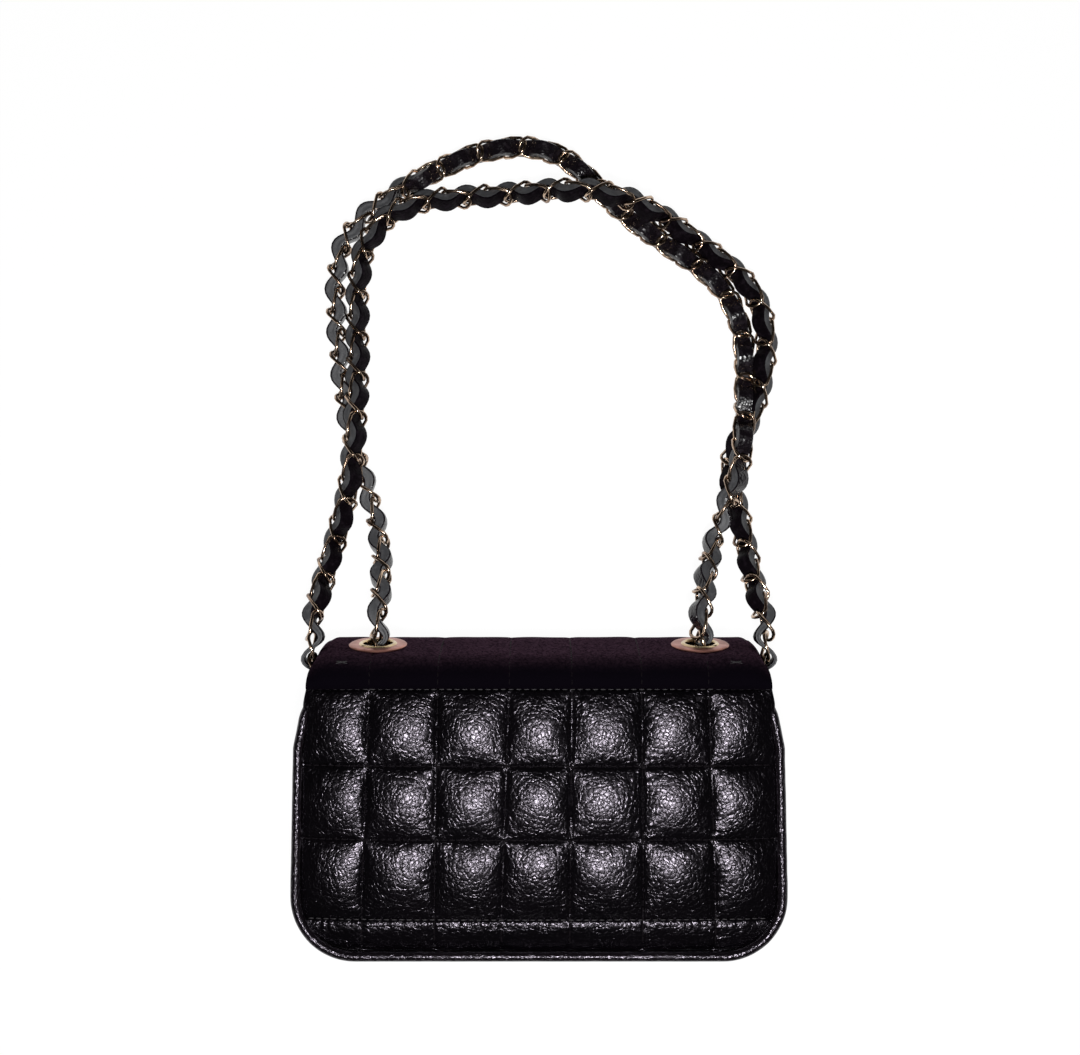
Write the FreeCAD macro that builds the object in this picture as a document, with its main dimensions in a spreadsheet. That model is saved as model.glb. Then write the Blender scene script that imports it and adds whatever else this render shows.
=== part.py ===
import FreeCAD, Part
import math
import os
import re

import Sketcher

# Chain shoulder bag lying on its front flap, with the quilted back upward and the doubled strap
# laid out above its top edge. X runs across the bag, Y towards its top edge and Z upward from the
# surface that it lies on. The origin is under the middle of the bag. Sizes are in millimetres.

doc = FreeCAD.newDocument("chain_shoulder_bag")
sheet = doc.addObject("Spreadsheet::Sheet", "sizes")

SIZES = {
    # outline of the bag body, across its width and along its height
    "bag_width": 200.0,
    "shoulder_width": 196.8,
    "neck_width": 187.2,
    "base_y": -64.6,
    "mouth_y": 31.0,
    "shoulder_y": 21.0,
    "seam_y": 44.5,
    "corner_radius": 26.0,
    # thickness of each layer
    "leather": 1.6,
    "lining": 1.0,
    "board": 1.2,
    "back_cover": 6.0,
    "back_padding": 2.4,
    "flap_cover": 4.0,
    "flap_padding": 1.6,
    "cavity_depth": 39.5,
    "fold_gap": 0.5,
    "seam_gap": 0.1,
    # piping round the two faces, and the gusset set in behind it
    "back_piping": 4.0,
    "front_piping": 3.6,
    "gusset_inset": 0.8,
    # sewn quilting
    "quilt_pitch": 27.5,
    "quilt_rows": 30.4,
    "channel_width": 10.0,
    "back_channel_depth": 3.4,
    "flap_channel_depth": 2.4,
    # folded top between the back and the flap
    "bridge_leather": 2.2,
    "bridge_width": 182.0,
    "bridge_corner_y": 55.0,
    "bridge_drop": 1.0,
    "bridge_lean": 10.0,
    "bridge_radius": 11.5,
    # flap
    "flap_top_width": 178.0,
    "flap_hem_width": 181.0,
    "flap_pad_y": 54.0,
    "flap_hem_y": -46.0,
    "flap_radius": 22.0,
    "flap_fold": 2.2,
    "fold_clearance": 0.3,
    "flap_margin": 6.0,
    # eyelets in the folded top
    "eyelet_x": 66.7,
    "eyelet_z": 31.8,
    "eyelet_flange": 24.0,
    "eyelet_bore": 12.0,
    "eyelet_wall": 1.0,
    "eyelet_plate": 1.2,
    "washer_width": 3.4,
    "eyelet_fit": 0.1,
    # magnetic snap under the flap
    "snap_y": -28.0,
    "snap_socket": 14.0,
    "snap_stud": 13.0,
    "snap_post": 5.0,
    "snap_proud": 0.3,
    "snap_play": 0.4,
    # pocket and base
    "pocket_width": 100.0,
    "pocket_height": 56.0,
    "pocket_base": 12.0,
    "base_margin": 28.0,
    # strap chain and the leather ribbon woven through it
    "link_pitch": 9.2,
    "wire": 1.6,
    "link_play": 2.2,
    "ribbon_width": 5.3,
    "ribbon_thickness": 2.8,
    "ribbon_pressed": 1.6,
    "ribbon_play": 0.85,
    "weave_play": 1.75,
    "link_twist": -32.0,
    "link_tilt": 20.0,
    "root_reach": 97.0,
    "ribbon_cut": 0.15,
}

for row, (alias, value) in enumerate(SIZES.items(), 1):
    sheet.set("A%d" % row, alias)
    sheet.set("B%d" % row, str(value))
    sheet.setAlias("B%d" % row, alias)
doc.recompute()

WORD = re.compile(r"\b(%s)\b" % "|".join(SIZES))


def formula(text):
    """The expression with each size pointing at its cell."""
    return WORD.sub(r"sizes.\1", text)


def size(text):
    """The value of an expression, in millimetres."""
    return float(sheet.evalExpression(formula(text)))


def bind(feature, **formulas):
    """Bind a feature's properties to expressions; a double underscore stands for a point."""
    for name, text in formulas.items():
        feature.setExpression(name.replace("__", "."), formula(text))


def both(low, high):
    """Sum of two expressions."""
    return "(%s) + (%s)" % (low, high)


# Heights of the layers, from the flap's face on the table up to the quilted back
FLAP_PADDING_Z = "flap_cover"
FLAP_LINING_Z = both(FLAP_PADDING_Z, "flap_padding")
FRONT_Z = both(FLAP_LINING_Z, "lining + fold_gap")
FRONT_BOARD_Z = both(FRONT_Z, "leather")
FRONT_LINING_Z = both(FRONT_BOARD_Z, "board")
CAVITY_Z = both(FRONT_LINING_Z, "lining")
BACK_LINING_Z = both(CAVITY_Z, "cavity_depth")
BACK_BOARD_Z = both(BACK_LINING_Z, "lining")
BACK_PADDING_Z = both(BACK_BOARD_Z, "board")
BACK_COVER_Z = both(BACK_PADDING_Z, "back_padding")
BACK_TOP_Z = both(BACK_COVER_Z, "back_cover")
BRIDGE_Z = both(BACK_TOP_Z, "-bridge_drop")

# The fold that the flap swings on, below the end of the leaning top
FOLD_Z = "flap_cover - flap_fold / 2"
BRIDGE_END_Z = both(FOLD_Z, "flap_fold / 2 + fold_clearance")
LEAN = "tan(bridge_lean * 1 deg)"
ACROSS = "bridge_leather / cos(bridge_lean * 1 deg)"


def leaning_y(z):
    """Y of the leaning top's outer face at a height."""
    return "bridge_corner_y + (%s - (%s)) * %s" % (BRIDGE_Z, z, LEAN)


FOLD_Y = both(leaning_y(BRIDGE_END_Z), "-(%s) / 2" % ACROSS)


def new_body(name):
    body = doc.addObject("PartDesign::Body", name)
    body.Label = name
    return body


def new_sketch(body, name, role, height="0"):
    """A sketch on one of the body's own planes, lifted off it by height."""
    sketch = body.newObject("Sketcher::SketchObject", name)
    plane = [f for f in body.Origin.OriginFeatures if f.Role == role][0]
    sketch.AttachmentSupport = [(plane, "")]
    sketch.MapMode = "FlatFace"
    bind(sketch, AttachmentOffset__Base__z=height)
    return sketch


def draw_polygon(sketch, corners):
    """A closed outline whose corners are pairs of expressions."""
    first = sketch.GeometryCount
    points = [FreeCAD.Vector(size(x), size(y), 0) for x, y in corners]
    count = len(points)
    for i in range(count):
        sketch.addGeometry(Part.LineSegment(points[i], points[(i + 1) % count]), False)
    for i in range(count):
        joint = Sketcher.Constraint("Coincident", first + i, 2, first + (i + 1) % count, 1)
        sketch.addConstraint(joint)
    for i, corner in enumerate(corners):
        for kind, text, value in zip(("DistanceX", "DistanceY"), corner, points[i]):
            datum = sketch.addConstraint(Sketcher.Constraint(kind, -1, 1, first + i, 1, value))
            bind(sketch, **{"Constraints[%d]" % datum: text})


def draw_circle(sketch, x, y, radius):
    """A circle at a pair of expressions."""
    centre = FreeCAD.Vector(size(x), size(y), 0)
    circle = Part.Circle(centre, FreeCAD.Vector(0, 0, 1), size(radius))
    index = sketch.addGeometry(circle, False)
    for kind, text, value in (("DistanceX", x, centre.x), ("DistanceY", y, centre.y)):
        datum = sketch.addConstraint(Sketcher.Constraint(kind, -1, 1, index, 3, value))
        bind(sketch, **{"Constraints[%d]" % datum: text})
    datum = sketch.addConstraint(Sketcher.Constraint("Radius", index, size(radius)))
    bind(sketch, **{"Constraints[%d]" % datum: radius})


def pad(body, sketch, length, symmetric=False):
    feature = body.newObject("PartDesign::Pad", sketch.Name + "_pad")
    feature.Profile = sketch
    if symmetric:
        feature.SideType = "Symmetric"
    bind(feature, Length=length)
    doc.recompute()
    return feature


def pocket_through(body, sketch):
    """Cut the sketch right through, both ways, and see that it removed something."""
    before = body.Tip.Shape.Volume
    feature = body.newObject("PartDesign::Pocket", sketch.Name + "_pocket")
    feature.Profile = sketch
    feature.Type = "ThroughAll"
    feature.SideType = "Symmetric"
    doc.recompute()
    if feature.Shape.Volume >= before:
        raise RuntimeError(sketch.Name + " cuts nothing")
    return feature


def round_corners(body, along, spots, radius):
    """Round the straight edges that run along an axis through the given pairs of expressions."""
    base = body.Tip
    axis = FreeCAD.Vector(*[1.0 if i == along else 0.0 for i in range(3)])
    others = [i for i in range(3) if i != along]
    names = []
    for number, edge in enumerate(base.Shape.Edges, 1):
        ends = [v.Point for v in edge.Vertexes]
        if len(ends) != 2 or (ends[1] - ends[0]).cross(axis).Length > 1e-6:
            continue
        for spot in spots:
            miss = [abs(ends[0][i] - size(text)) for i, text in zip(others, spot)]
            if max(miss) < 1e-4:
                names.append("Edge%d" % number)
    if len(names) != len(spots):
        raise RuntimeError("corner not found on " + body.Label)
    feature = body.newObject("PartDesign::Fillet", "%s_round_%d" % (body.Name, base.ID))
    feature.Base = (base, names)
    bind(feature, Radius=radius)
    doc.recompute()
    return feature


# Outline of the bag: straight base, side walls that draw in above the shoulder
def side_half(y):
    """Half the bag's width at a height above the shoulder."""
    rise = "((%s) - shoulder_y) / (seam_y - shoulder_y)" % y
    return "shoulder_width / 2 - (shoulder_width - neck_width) / 2 * %s" % rise


def bag_outline(inset, top_y):
    """Right-hand corners of the bag's outline, from the base up, drawn in by an inset."""
    return [
        ("bag_width / 2 - (%s)" % inset, "base_y + (%s)" % inset),
        ("shoulder_width / 2 - (%s)" % inset, "shoulder_y"),
        ("%s - (%s)" % (side_half(top_y), inset), top_y),
    ]


def mirrored(corners):
    """The same corners on the left-hand side, in reverse order."""
    return [("-(%s)" % x, y) for x, y in reversed(corners)]


def flat_panel(name, inset, top_y, z, thickness):
    """A sheet cut to the bag's outline, with the two base corners rounded."""
    body = new_body(name)
    sketch = new_sketch(body, name + "_outline", "XY_Plane", z)
    right = bag_outline(inset, top_y)
    draw_polygon(sketch, right + mirrored(right))
    pad(body, sketch, thickness)
    corners = [right[0], mirrored(right)[-1]]
    round_corners(body, 2, corners, "corner_radius - (%s)" % inset)
    return body


def gusset_strip(name, outer, inner, z_low, z_high):
    """A strip that runs down one side, along the base and up the other side."""
    body = new_body(name)
    sketch = new_sketch(body, name + "_outline", "XY_Plane", z_low)
    outside = bag_outline(outer, "mouth_y")
    inside = bag_outline(inner, "mouth_y")
    there = outside[::-1] + mirrored(outside)[::-1]
    draw_polygon(sketch, there + mirrored(inside) + inside)
    pad(body, sketch, "(%s) - (%s)" % (z_high, z_low))
    for corners, inset in ((outside, outer), (inside, inner)):
        spots = [corners[0], mirrored(corners)[-1]]
        round_corners(body, 2, spots, "corner_radius - (%s)" % inset)
    return body


def cut_channels(body, columns, rows, z_face, depth, upward):
    """Sewn channels between the quilted squares, as V grooves across the padded face."""
    tip = "(%s) %s (%s)" % (z_face, "-" if upward else "+", depth)
    mouth = "(%s) %s 1" % (z_face, "+" if upward else "-")
    spread = "channel_width / 2 * (1 + 1 / (%s))" % depth
    for role, places in (("XZ_Plane", columns), ("YZ_Plane", rows)):
        sketch = new_sketch(body, "%s_%s" % (body.Name, role[:2].lower()), role)
        for place in places:
            left = "(%s) - %s" % (place, spread)
            right = "(%s) + %s" % (place, spread)
            draw_polygon(sketch, [(left, mouth), (place, tip), (right, mouth)])
        pocket_through(body, sketch)


# Quilting lines: seven columns, and three padded rows below the top seam
COLUMNS = ["quilt_pitch * %.1f" % k for k in (-2.5, -1.5, -0.5, 0.5, 1.5, 2.5)]
ROWS = ["seam_y - quilt_rows * %d" % k for k in (1, 2, 3)]

# Quilted back: leather cover over padding, a stiff board and the lining
PANEL_INSET = "back_piping + 2 * seam_gap"
back_cover = flat_panel("back_cover", PANEL_INSET, "seam_y", BACK_COVER_Z, "back_cover")
cut_channels(back_cover, COLUMNS, ROWS, BACK_TOP_Z, "back_channel_depth", True)
for name, z, thickness in (
    ("back_padding", BACK_PADDING_Z, "back_padding"),
    ("back_board", BACK_BOARD_Z, "board"),
    ("back_lining", BACK_LINING_Z, "lining"),
):
    flat_panel(name, PANEL_INSET, "seam_y", z, thickness)

# Slip pocket sewn flat to the back lining, open along its top edge
pocket = new_body("inner_pocket")
outline = new_sketch(pocket, "pocket_outline", "XY_Plane", both(BACK_LINING_Z, "-lining - seam_gap"))
POCKET_LOW = "base_y + pocket_base"
POCKET_HIGH = "base_y + pocket_base + pocket_height"
draw_polygon(outline, [
    ("-pocket_width / 2", POCKET_LOW), ("pocket_width / 2", POCKET_LOW),
    ("pocket_width / 2", POCKET_HIGH), ("-pocket_width / 2", POCKET_HIGH)])
pad(pocket, outline, "lining")

# Front wall: leather, board and lining, with a seat for the snap's socket
FRONT_INSET = "front_piping + 2 * seam_gap"
for name, z, thickness in (
    ("front_panel", FRONT_Z, "leather"),
    ("front_board", FRONT_BOARD_Z, "board"),
    ("front_lining", FRONT_LINING_Z, "lining"),
):
    wall = flat_panel(name, FRONT_INSET, "mouth_y", z, thickness)
    if name != "front_lining":
        seat = new_sketch(wall, name + "_seat", "XY_Plane", z)
        draw_circle(seat, "0.0", "snap_y", "snap_socket / 2 + seam_gap")
        pocket_through(wall, seat)

# Gusset with its lining, and the board that stiffens the base between them
GUSSET_IN = "gusset_inset + leather"
LINING_OUT = both(GUSSET_IN, "board + 2 * seam_gap")
GUSSET_LOW = both(FRONT_Z, "front_piping + seam_gap")
GUSSET_HIGH = both(BACK_COVER_Z, "-back_piping / 2 - seam_gap")
LINING_LOW = both(CAVITY_Z, "seam_gap")
LINING_HIGH = both(BACK_LINING_Z, "-seam_gap")
gusset_strip("gusset", "gusset_inset", GUSSET_IN, GUSSET_LOW, GUSSET_HIGH)
gusset_strip("gusset_lining", LINING_OUT, both(LINING_OUT, "lining"), LINING_LOW, LINING_HIGH)

base = new_body("base_board")
outline = new_sketch(base, "base_outline", "XY_Plane", LINING_LOW)
BASE_HALF = "bag_width / 2 - base_margin"
BASE_LOW = both("base_y", both(GUSSET_IN, "seam_gap"))
BASE_HIGH = both(BASE_LOW, "board")
draw_polygon(outline, [
    ("-(%s)" % BASE_HALF, BASE_LOW), (BASE_HALF, BASE_LOW),
    (BASE_HALF, BASE_HIGH), ("-(%s)" % BASE_HALF, BASE_HIGH)])
pad(base, outline, "(%s) - (%s)" % (LINING_HIGH, LINING_LOW))

# Folded top: leather and lining bent over from the back seam to the fold of the flap
BRIDGE_START = "seam_y + 2 * seam_gap"
BRIDGE_NORMAL = FreeCAD.Vector(
    0, math.cos(math.radians(size("bridge_lean"))), math.sin(math.radians(size("bridge_lean"))))
EYELET = FreeCAD.Vector(size("eyelet_x"), size(leaning_y("eyelet_z")), size("eyelet_z"))


def folded_sheet(name, outside, thickness):
    """A bent sheet of the folded top, a distance in from the outer face, with its eyelet holes."""
    body = new_body(name)
    sketch = new_sketch(body, name + "_profile", "YZ_Plane")
    corners = []
    for depth in (outside, both(outside, thickness)):
        high = "%s - (%s)" % (BRIDGE_Z, depth)
        slant = "(%s) / cos(bridge_lean * 1 deg)" % depth
        corner = "%s - %s" % (leaning_y(high), slant)
        end = "%s - %s" % (leaning_y(BRIDGE_END_Z), slant)
        corners.append([(BRIDGE_START, high), (corner, high), (end, BRIDGE_END_Z)])
    draw_polygon(sketch, corners[0] + corners[1][::-1])
    pad(body, sketch, "bridge_width", symmetric=True)
    for line, depth in zip(corners, (outside, both(outside, thickness))):
        round_corners(body, 0, [line[1]], "bridge_radius - (%s)" % depth)
    for side in ("-1", "1"):
        hole = body.newObject("PartDesign::SubtractiveCylinder", name + "_hole")
        turned = FreeCAD.Rotation(FreeCAD.Vector(1, 0, 0), -80)
        hole.Placement = FreeCAD.Placement(FreeCAD.Vector(), turned)
        reach = "4 * bridge_leather"
        bind(
            hole,
            Radius="eyelet_bore / 2 + eyelet_wall + eyelet_fit",
            Height="2 * %s" % reach,
            Placement__Base__x="%s * eyelet_x" % side,
            Placement__Base__y="%s - %s * cos(bridge_lean * 1 deg)" % (leaning_y("eyelet_z"), reach),
            Placement__Base__z="eyelet_z - %s * sin(bridge_lean * 1 deg)" % reach,
            Placement__Rotation__Angle="(bridge_lean - 90) * 1 deg",
        )
        doc.recompute()
    return body


folded_sheet("bridge", "0", "bridge_leather")
folded_sheet("bridge_lining", "bridge_leather + seam_gap", "lining")


# Eyelets: a polished flange and barrel from outside, clenched over a washer inside
def turned_ring(name, profile, side):
    """A ring turned from a profile of radius and height, set square in the leaning top."""
    body = new_body(name)
    sketch = new_sketch(body, name + "_profile", "XZ_Plane")
    draw_polygon(sketch, profile)
    turn = body.newObject("PartDesign::Revolution", name + "_turn")
    turn.Profile = sketch
    turn.ReferenceAxis = (sketch, ["V_Axis"])
    turn.Angle = 360
    body.Placement = FreeCAD.Placement(
        FreeCAD.Vector(), FreeCAD.Rotation(FreeCAD.Vector(1, 0, 0), -80))
    bind(
        body,
        Placement__Base__x="%s * eyelet_x" % side,
        Placement__Base__y=leaning_y("eyelet_z"),
        Placement__Base__z="eyelet_z",
        Placement__Rotation__Angle="(bridge_lean - 90) * 1 deg",
    )
    doc.recompute()
    return body


BORE = "eyelet_bore / 2"
BARREL = "eyelet_bore / 2 + eyelet_wall"
SEAT = "seam_gap / 2"
FLANGE_TOP = both(SEAT, "eyelet_plate")
WASHER_TOP = "-(bridge_leather + lining + 2 * seam_gap)"
WASHER_LOW = both(WASHER_TOP, "-lining")
for label, side in (("left", "-1"), ("right", "1")):
    turned_ring("eyelet_" + label, [
        (BORE, WASHER_LOW), (BARREL, WASHER_LOW), (BARREL, SEAT),
        ("eyelet_flange / 2", SEAT), ("eyelet_flange / 2", "%s - eyelet_plate / 2" % FLANGE_TOP),
        ("eyelet_flange / 2 - eyelet_plate", FLANGE_TOP),
        ("%s + eyelet_plate / 2" % BORE, FLANGE_TOP), (BORE, "%s - eyelet_plate / 2" % FLANGE_TOP),
    ], side)
    turned_ring("eyelet_washer_" + label, [
        ("%s + eyelet_fit" % BARREL, WASHER_LOW), ("%s + washer_width" % BARREL, WASHER_LOW),
        ("%s + washer_width" % BARREL, WASHER_TOP), ("%s + eyelet_fit" % BARREL, WASHER_TOP),
    ], side)


# Flap: quilted cover with a thin fold at its top edge, padding and lining behind
def flap_outline(inset, top_y):
    """Right-hand corners of the flap, from the hem up."""
    return [
        ("flap_hem_width / 2 - (%s)" % inset, "flap_hem_y + (%s)" % inset),
        ("flap_top_width / 2 - (%s)" % inset, top_y),
    ]


def flap_layer(name, inset, z, thickness):
    body = new_body(name)
    sketch = new_sketch(body, name + "_outline", "XY_Plane", z)
    right = flap_outline(inset, "flap_pad_y - (%s)" % inset)
    draw_polygon(sketch, right + mirrored(right))
    pad(body, sketch, thickness)
    round_corners(body, 2, [right[0], mirrored(right)[-1]], "flap_radius - (%s)" % inset)
    return body


flap_cover = flap_layer("flap_cover", "0", "0", "flap_cover")
FLAP_ROWS = ["seam_y - quilt_rows * %d" % k for k in (0, 1, 2)]
cut_channels(flap_cover, COLUMNS, FLAP_ROWS, "0", "flap_channel_depth", False)
fold = new_sketch(flap_cover, "flap_fold", "YZ_Plane")
FOLD_LOW = "flap_cover - flap_fold"
draw_polygon(fold, [
    ("flap_pad_y - flap_margin / 2", FOLD_LOW), (FOLD_Y, FOLD_LOW),
    (FOLD_Y, "flap_cover"), ("flap_pad_y - flap_margin / 2", "flap_cover")])
pad(flap_cover, fold, "flap_top_width", symmetric=True)
edge = flap_cover.newObject("PartDesign::AdditiveCylinder", "flap_edge")
edge.Placement = FreeCAD.Placement(
    FreeCAD.Vector(), FreeCAD.Rotation(FreeCAD.Vector(0, 1, 0), 90))
bind(
    edge,
    Radius="flap_fold / 2",
    Height="flap_top_width",
    Placement__Base__x="-flap_top_width / 2",
    Placement__Base__y=FOLD_Y,
    Placement__Base__z=FOLD_Z,
)
doc.recompute()

flap_layer("flap_padding", "flap_margin", FLAP_PADDING_Z, "flap_padding")
flap_lining = flap_layer("flap_lining", "flap_margin", FLAP_LINING_Z, "lining")
seat = new_sketch(flap_lining, "stud_seat", "XY_Plane", FLAP_LINING_Z)
draw_circle(seat, "0.0", "snap_y", "snap_stud / 2 + seam_gap")
pocket_through(flap_lining, seat)


# Magnetic snap: a stud through the flap lining and its socket in the front wall
def snap_half(name, profile):
    body = new_body(name)
    sketch = new_sketch(body, name + "_profile", "XZ_Plane")
    draw_polygon(sketch, profile)
    turn = body.newObject("PartDesign::Revolution", name + "_turn")
    turn.Profile = sketch
    turn.ReferenceAxis = (sketch, ["V_Axis"])
    turn.Angle = 360
    bind(body, Placement__Base__y="snap_y")
    doc.recompute()


STUD_TOP = both(FLAP_LINING_Z, "lining + snap_proud")
SOCKET_TOP = both(FRONT_LINING_Z, "-seam_gap")
POST_TOP = both(FRONT_Z, "leather")
snap_half("snap_stud", [
    ("0.0", FLAP_LINING_Z), ("snap_stud / 2", FLAP_LINING_Z), ("snap_stud / 2", STUD_TOP),
    ("snap_post / 2", STUD_TOP), ("snap_post / 2", POST_TOP), ("0.0", POST_TOP)])
snap_half("snap_socket", [
    ("snap_post / 2 + snap_play", FRONT_Z), ("snap_socket / 2", FRONT_Z),
    ("snap_socket / 2", SOCKET_TOP), ("0.0", SOCKET_TOP),
    ("0.0", both(POST_TOP, "snap_play")), ("snap_post / 2 + snap_play", both(POST_TOP, "snap_play"))])


def rounded_wire(points, share=0.45, limit=None, title=None):
    """Straight runs joined by tangent arcs, each as large as its two runs or its limit allow."""
    edges = []
    radii = []
    start = points[0]
    for before, corner, after in zip(points, points[1:], points[2:]):
        run_in = corner - before
        run_out = after - corner
        turn = run_in.getAngle(run_out)
        reach = share * min(run_in.Length, run_out.Length)
        if limit is not None:
            reach = min(reach, limit * math.tan(turn / 2))
        radii.append(reach / math.tan(turn / 2))
        inward = FreeCAD.Vector(run_in).normalize()
        outward = FreeCAD.Vector(run_out).normalize()
        first = corner - inward * reach
        last = corner + outward * reach
        lean = (outward - inward).normalize()
        middle = corner + lean * (radii[-1] / math.cos(turn / 2) - radii[-1])
        edges.append(Part.LineSegment(start, first).toShape())
        edges.append(Part.Arc(first, middle, last).toShape())
        start = last
    edges.append(Part.LineSegment(start, points[-1]).toShape())
    if title:
        print(title, "radii", " ".join("%.0f" % r for r in radii))
    return Part.Wire(edges)


def add_part(name, shape):
    """A sub-part whose shape is worked out here from the sheet's sizes."""
    feature = doc.addObject("Part::Feature", name)
    feature.Label = name
    feature.Shape = shape
    feature.Placement = FreeCAD.Placement()
    return feature


# Piping: a round leather welt sewn in between each face and the gusset
def piping(name, diameter, z):
    half = "%s / 2" % diameter
    right = bag_outline(half, "mouth_y")
    corners = right[::-1] + mirrored(right)[::-1]
    points = [FreeCAD.Vector(size(x), size(y), size(z)) for x, y in corners]
    path = rounded_wire(points, limit=size("corner_radius - %s" % half))
    along = (points[1] - points[0]).normalize()
    round_face = Part.Wire(Part.makeCircle(size(half), points[0], along))
    add_part(name, path.makePipeShell([round_face], True, False))


piping("back_piping", "back_piping", BACK_COVER_Z)
piping("front_piping", "front_piping", both(FRONT_Z, "front_piping / 2"))

# Strap: one closed loop of chain, in from each eyelet, under the folded top and out past its side.
# The inner stretch goes from eyelet to eyelet, and the outer one from side to side, over the inner
# one at two places. Route points are chosen by hand along the middle of the chain.
EXIT_RUN = 12.0
INNER_ROUTE = [
    (-66.0, 85.0, 25.0), (-67.6, 99.0, 12.0), (-71.5, 114.0, 6.2), (-77.5, 131.5, 5.8),
    (-84.5, 148.0, 5.8), (-87.8, 167.0, 5.8), (-90.3, 187.0, 5.8), (-91.2, 208.0, 5.8),
    (-88.5, 227.0, 5.8), (-79.0, 246.0, 5.8), (-63.0, 257.5, 5.8), (-44.0, 266.5, 5.8),
    (-23.0, 272.5, 5.8), (-3.0, 273.5, 5.8), (13.0, 267.5, 5.8), (25.0, 256.0, 5.8),
    (37.0, 243.0, 5.8), (56.0, 229.5, 5.8), (73.5, 213.5, 5.8), (83.5, 194.0, 5.8),
    (86.8, 174.0, 5.8), (84.8, 154.0, 5.8), (80.5, 134.0, 5.8), (76.8, 116.0, 6.2),
    (72.8, 100.0, 12.0), (69.0, 86.0, 25.0),
]
LOOP_ROUTE = [
    (66.7, 54.5, 30.8), (68.8, 46.7, 29.5), (74.5, 41.0, 28.5), (82.25, 38.95, 28.1),
    (90.0, 41.0, 28.5), (95.7, 46.7, 29.5), (97.8, 54.5, 30.8), (98.0, 63.0, 31.5),
]
OUTER_ROUTE = [
    (97.2, 72.0, 29.5), (96.0, 82.0, 22.5), (93.8, 92.0, 15.0), (91.2, 104.0, 9.0),
    (90.5, 117.0, 6.2), (93.3, 134.0, 5.8), (96.8, 152.0, 5.8), (99.3, 170.0, 5.8),
    (99.3, 188.0, 5.8), (95.5, 206.0, 5.8), (86.0, 221.0, 5.8), (72.0, 233.5, 5.8),
    (58.0, 243.0, 8.0), (45.0, 249.5, 14.0), (32.0, 253.8, 17.8), (16.0, 255.8, 17.8),
    (1.0, 254.5, 11.5), (-14.0, 253.0, 6.4), (-33.0, 251.5, 5.8), (-51.0, 247.5, 5.8),
    (-64.5, 239.0, 5.8), (-72.0, 226.0, 5.8), (-74.4, 209.0, 5.8), (-74.3, 191.0, 5.8),
    (-74.6, 174.0, 8.0), (-76.3, 160.0, 15.0), (-78.6, 146.0, 17.8), (-80.6, 131.0, 17.8),
    (-83.6, 119.0, 15.5), (-87.5, 106.5, 12.5), (-91.0, 94.0, 15.0), (-94.6, 83.0, 22.0),
    (-97.0, 72.0, 29.5),
]
LEFT_EYELET = FreeCAD.Vector(-EYELET.x, EYELET.y, EYELET.z)
OUT = BRIDGE_NORMAL * EXIT_RUN
inner_points = [LEFT_EYELET, LEFT_EYELET + OUT]
inner_points += [FreeCAD.Vector(*p) for p in INNER_ROUTE]
inner_points += [EYELET + OUT, EYELET]
outer_points = [EYELET] + [FreeCAD.Vector(*p) for p in LOOP_ROUTE + OUTER_ROUTE]
outer_points += [FreeCAD.Vector(-x, y, z) for x, y, z in reversed(LOOP_ROUTE)] + [LEFT_EYELET]

# The inner stretch lies on its edge, except along its middle, where it lies flat. These are the
# stations along it where it turns over and back. The outer stretch leans over once it is on the table.
ON_EDGE = 90.0
LEANING = 134.0
TURN_STATIONS = (175.0, 285.0, 450.0, 515.0)
LEAN_BETWEEN = (104.0, 150.0)
LOOSE_BETWEEN = (66.0, 106.0)
STEPS = 4


def share_between(value, low, high):
    return max(0.0, min(1.0, (value - low) / (high - low)))


def inner_roll(station, y):
    """Turn of the chain about its own line, in degrees from lying flat."""
    down, flat, rise, edge = TURN_STATIONS
    return ON_EDGE * (1 - share_between(station, down, flat) + share_between(station, rise, edge))


def outer_roll(station, y):
    return ON_EDGE + (LEANING - ON_EDGE) * share_between(y, *LEAN_BETWEEN)


def chain_frames(wire, odd, roll):
    """Place, direction, width and thickness of the chain at each quarter of each link's pitch."""
    count = int(round(wire.Length / size("link_pitch")))
    if count % 2 != odd:
        count += 1
    spots = wire.discretize(Number=count * STEPS + 1)
    frames = []
    for i, spot in enumerate(spots):
        ahead = spots[min(i + 1, len(spots) - 1)]
        along = (ahead - spots[max(i - 1, 0)]).normalize()
        flat = FreeCAD.Vector(0, 0, 1).cross(along).normalize()
        turn = math.radians(roll(wire.Length * i / (count * STEPS), spot.y))
        across = flat * math.cos(turn) + along.cross(flat) * math.sin(turn)
        frames.append((spot, along, across, along.cross(across)))
    return frames


def facet_solid(points, facets):
    """A closed solid of flat triangles."""
    shape = Part.Shape()
    shape.makeShapeFromMesh((points, facets), 0.001)
    solid = Part.makeSolid(Part.makeShell(shape.Faces))
    if solid.Volume < 0:
        solid.reverse()
    return solid


def ring_facets(rings, sides, closed):
    """Triangles between neighbouring rings of points, with end caps where the run is open."""
    facets = []
    for i in range(rings if closed else rings - 1):
        here = i * sides
        there = (i + 1) % rings * sides
        for k in range(sides):
            n = (k + 1) % sides
            facets.append((here + k, here + n, there + n))
            facets.append((here + k, there + n, there + k))
    if not closed:
        last = (rings - 1) * sides
        for k in range(1, sides - 1):
            facets.append((0, k + 1, k))
            facets.append((last, last + k, last + k + 1))
    return facets


# One link: an oval of wire, twisted so that its two ends lean opposite ways and the chain lies flat
LINK_HALF = size("(link_pitch + wire + link_play) / 2")
LINK_SIDE = size("ribbon_width / 2 + ribbon_play + wire / 2")


def looseness(spot):
    """0 in the tight loops under the folded top, where the ribbon is pressed flat, and 1 outside."""
    return share_between(spot.y, *LOOSE_BETWEEN)


def link_tilt(spot):
    return math.radians(size("link_tilt")) * looseness(spot)


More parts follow.
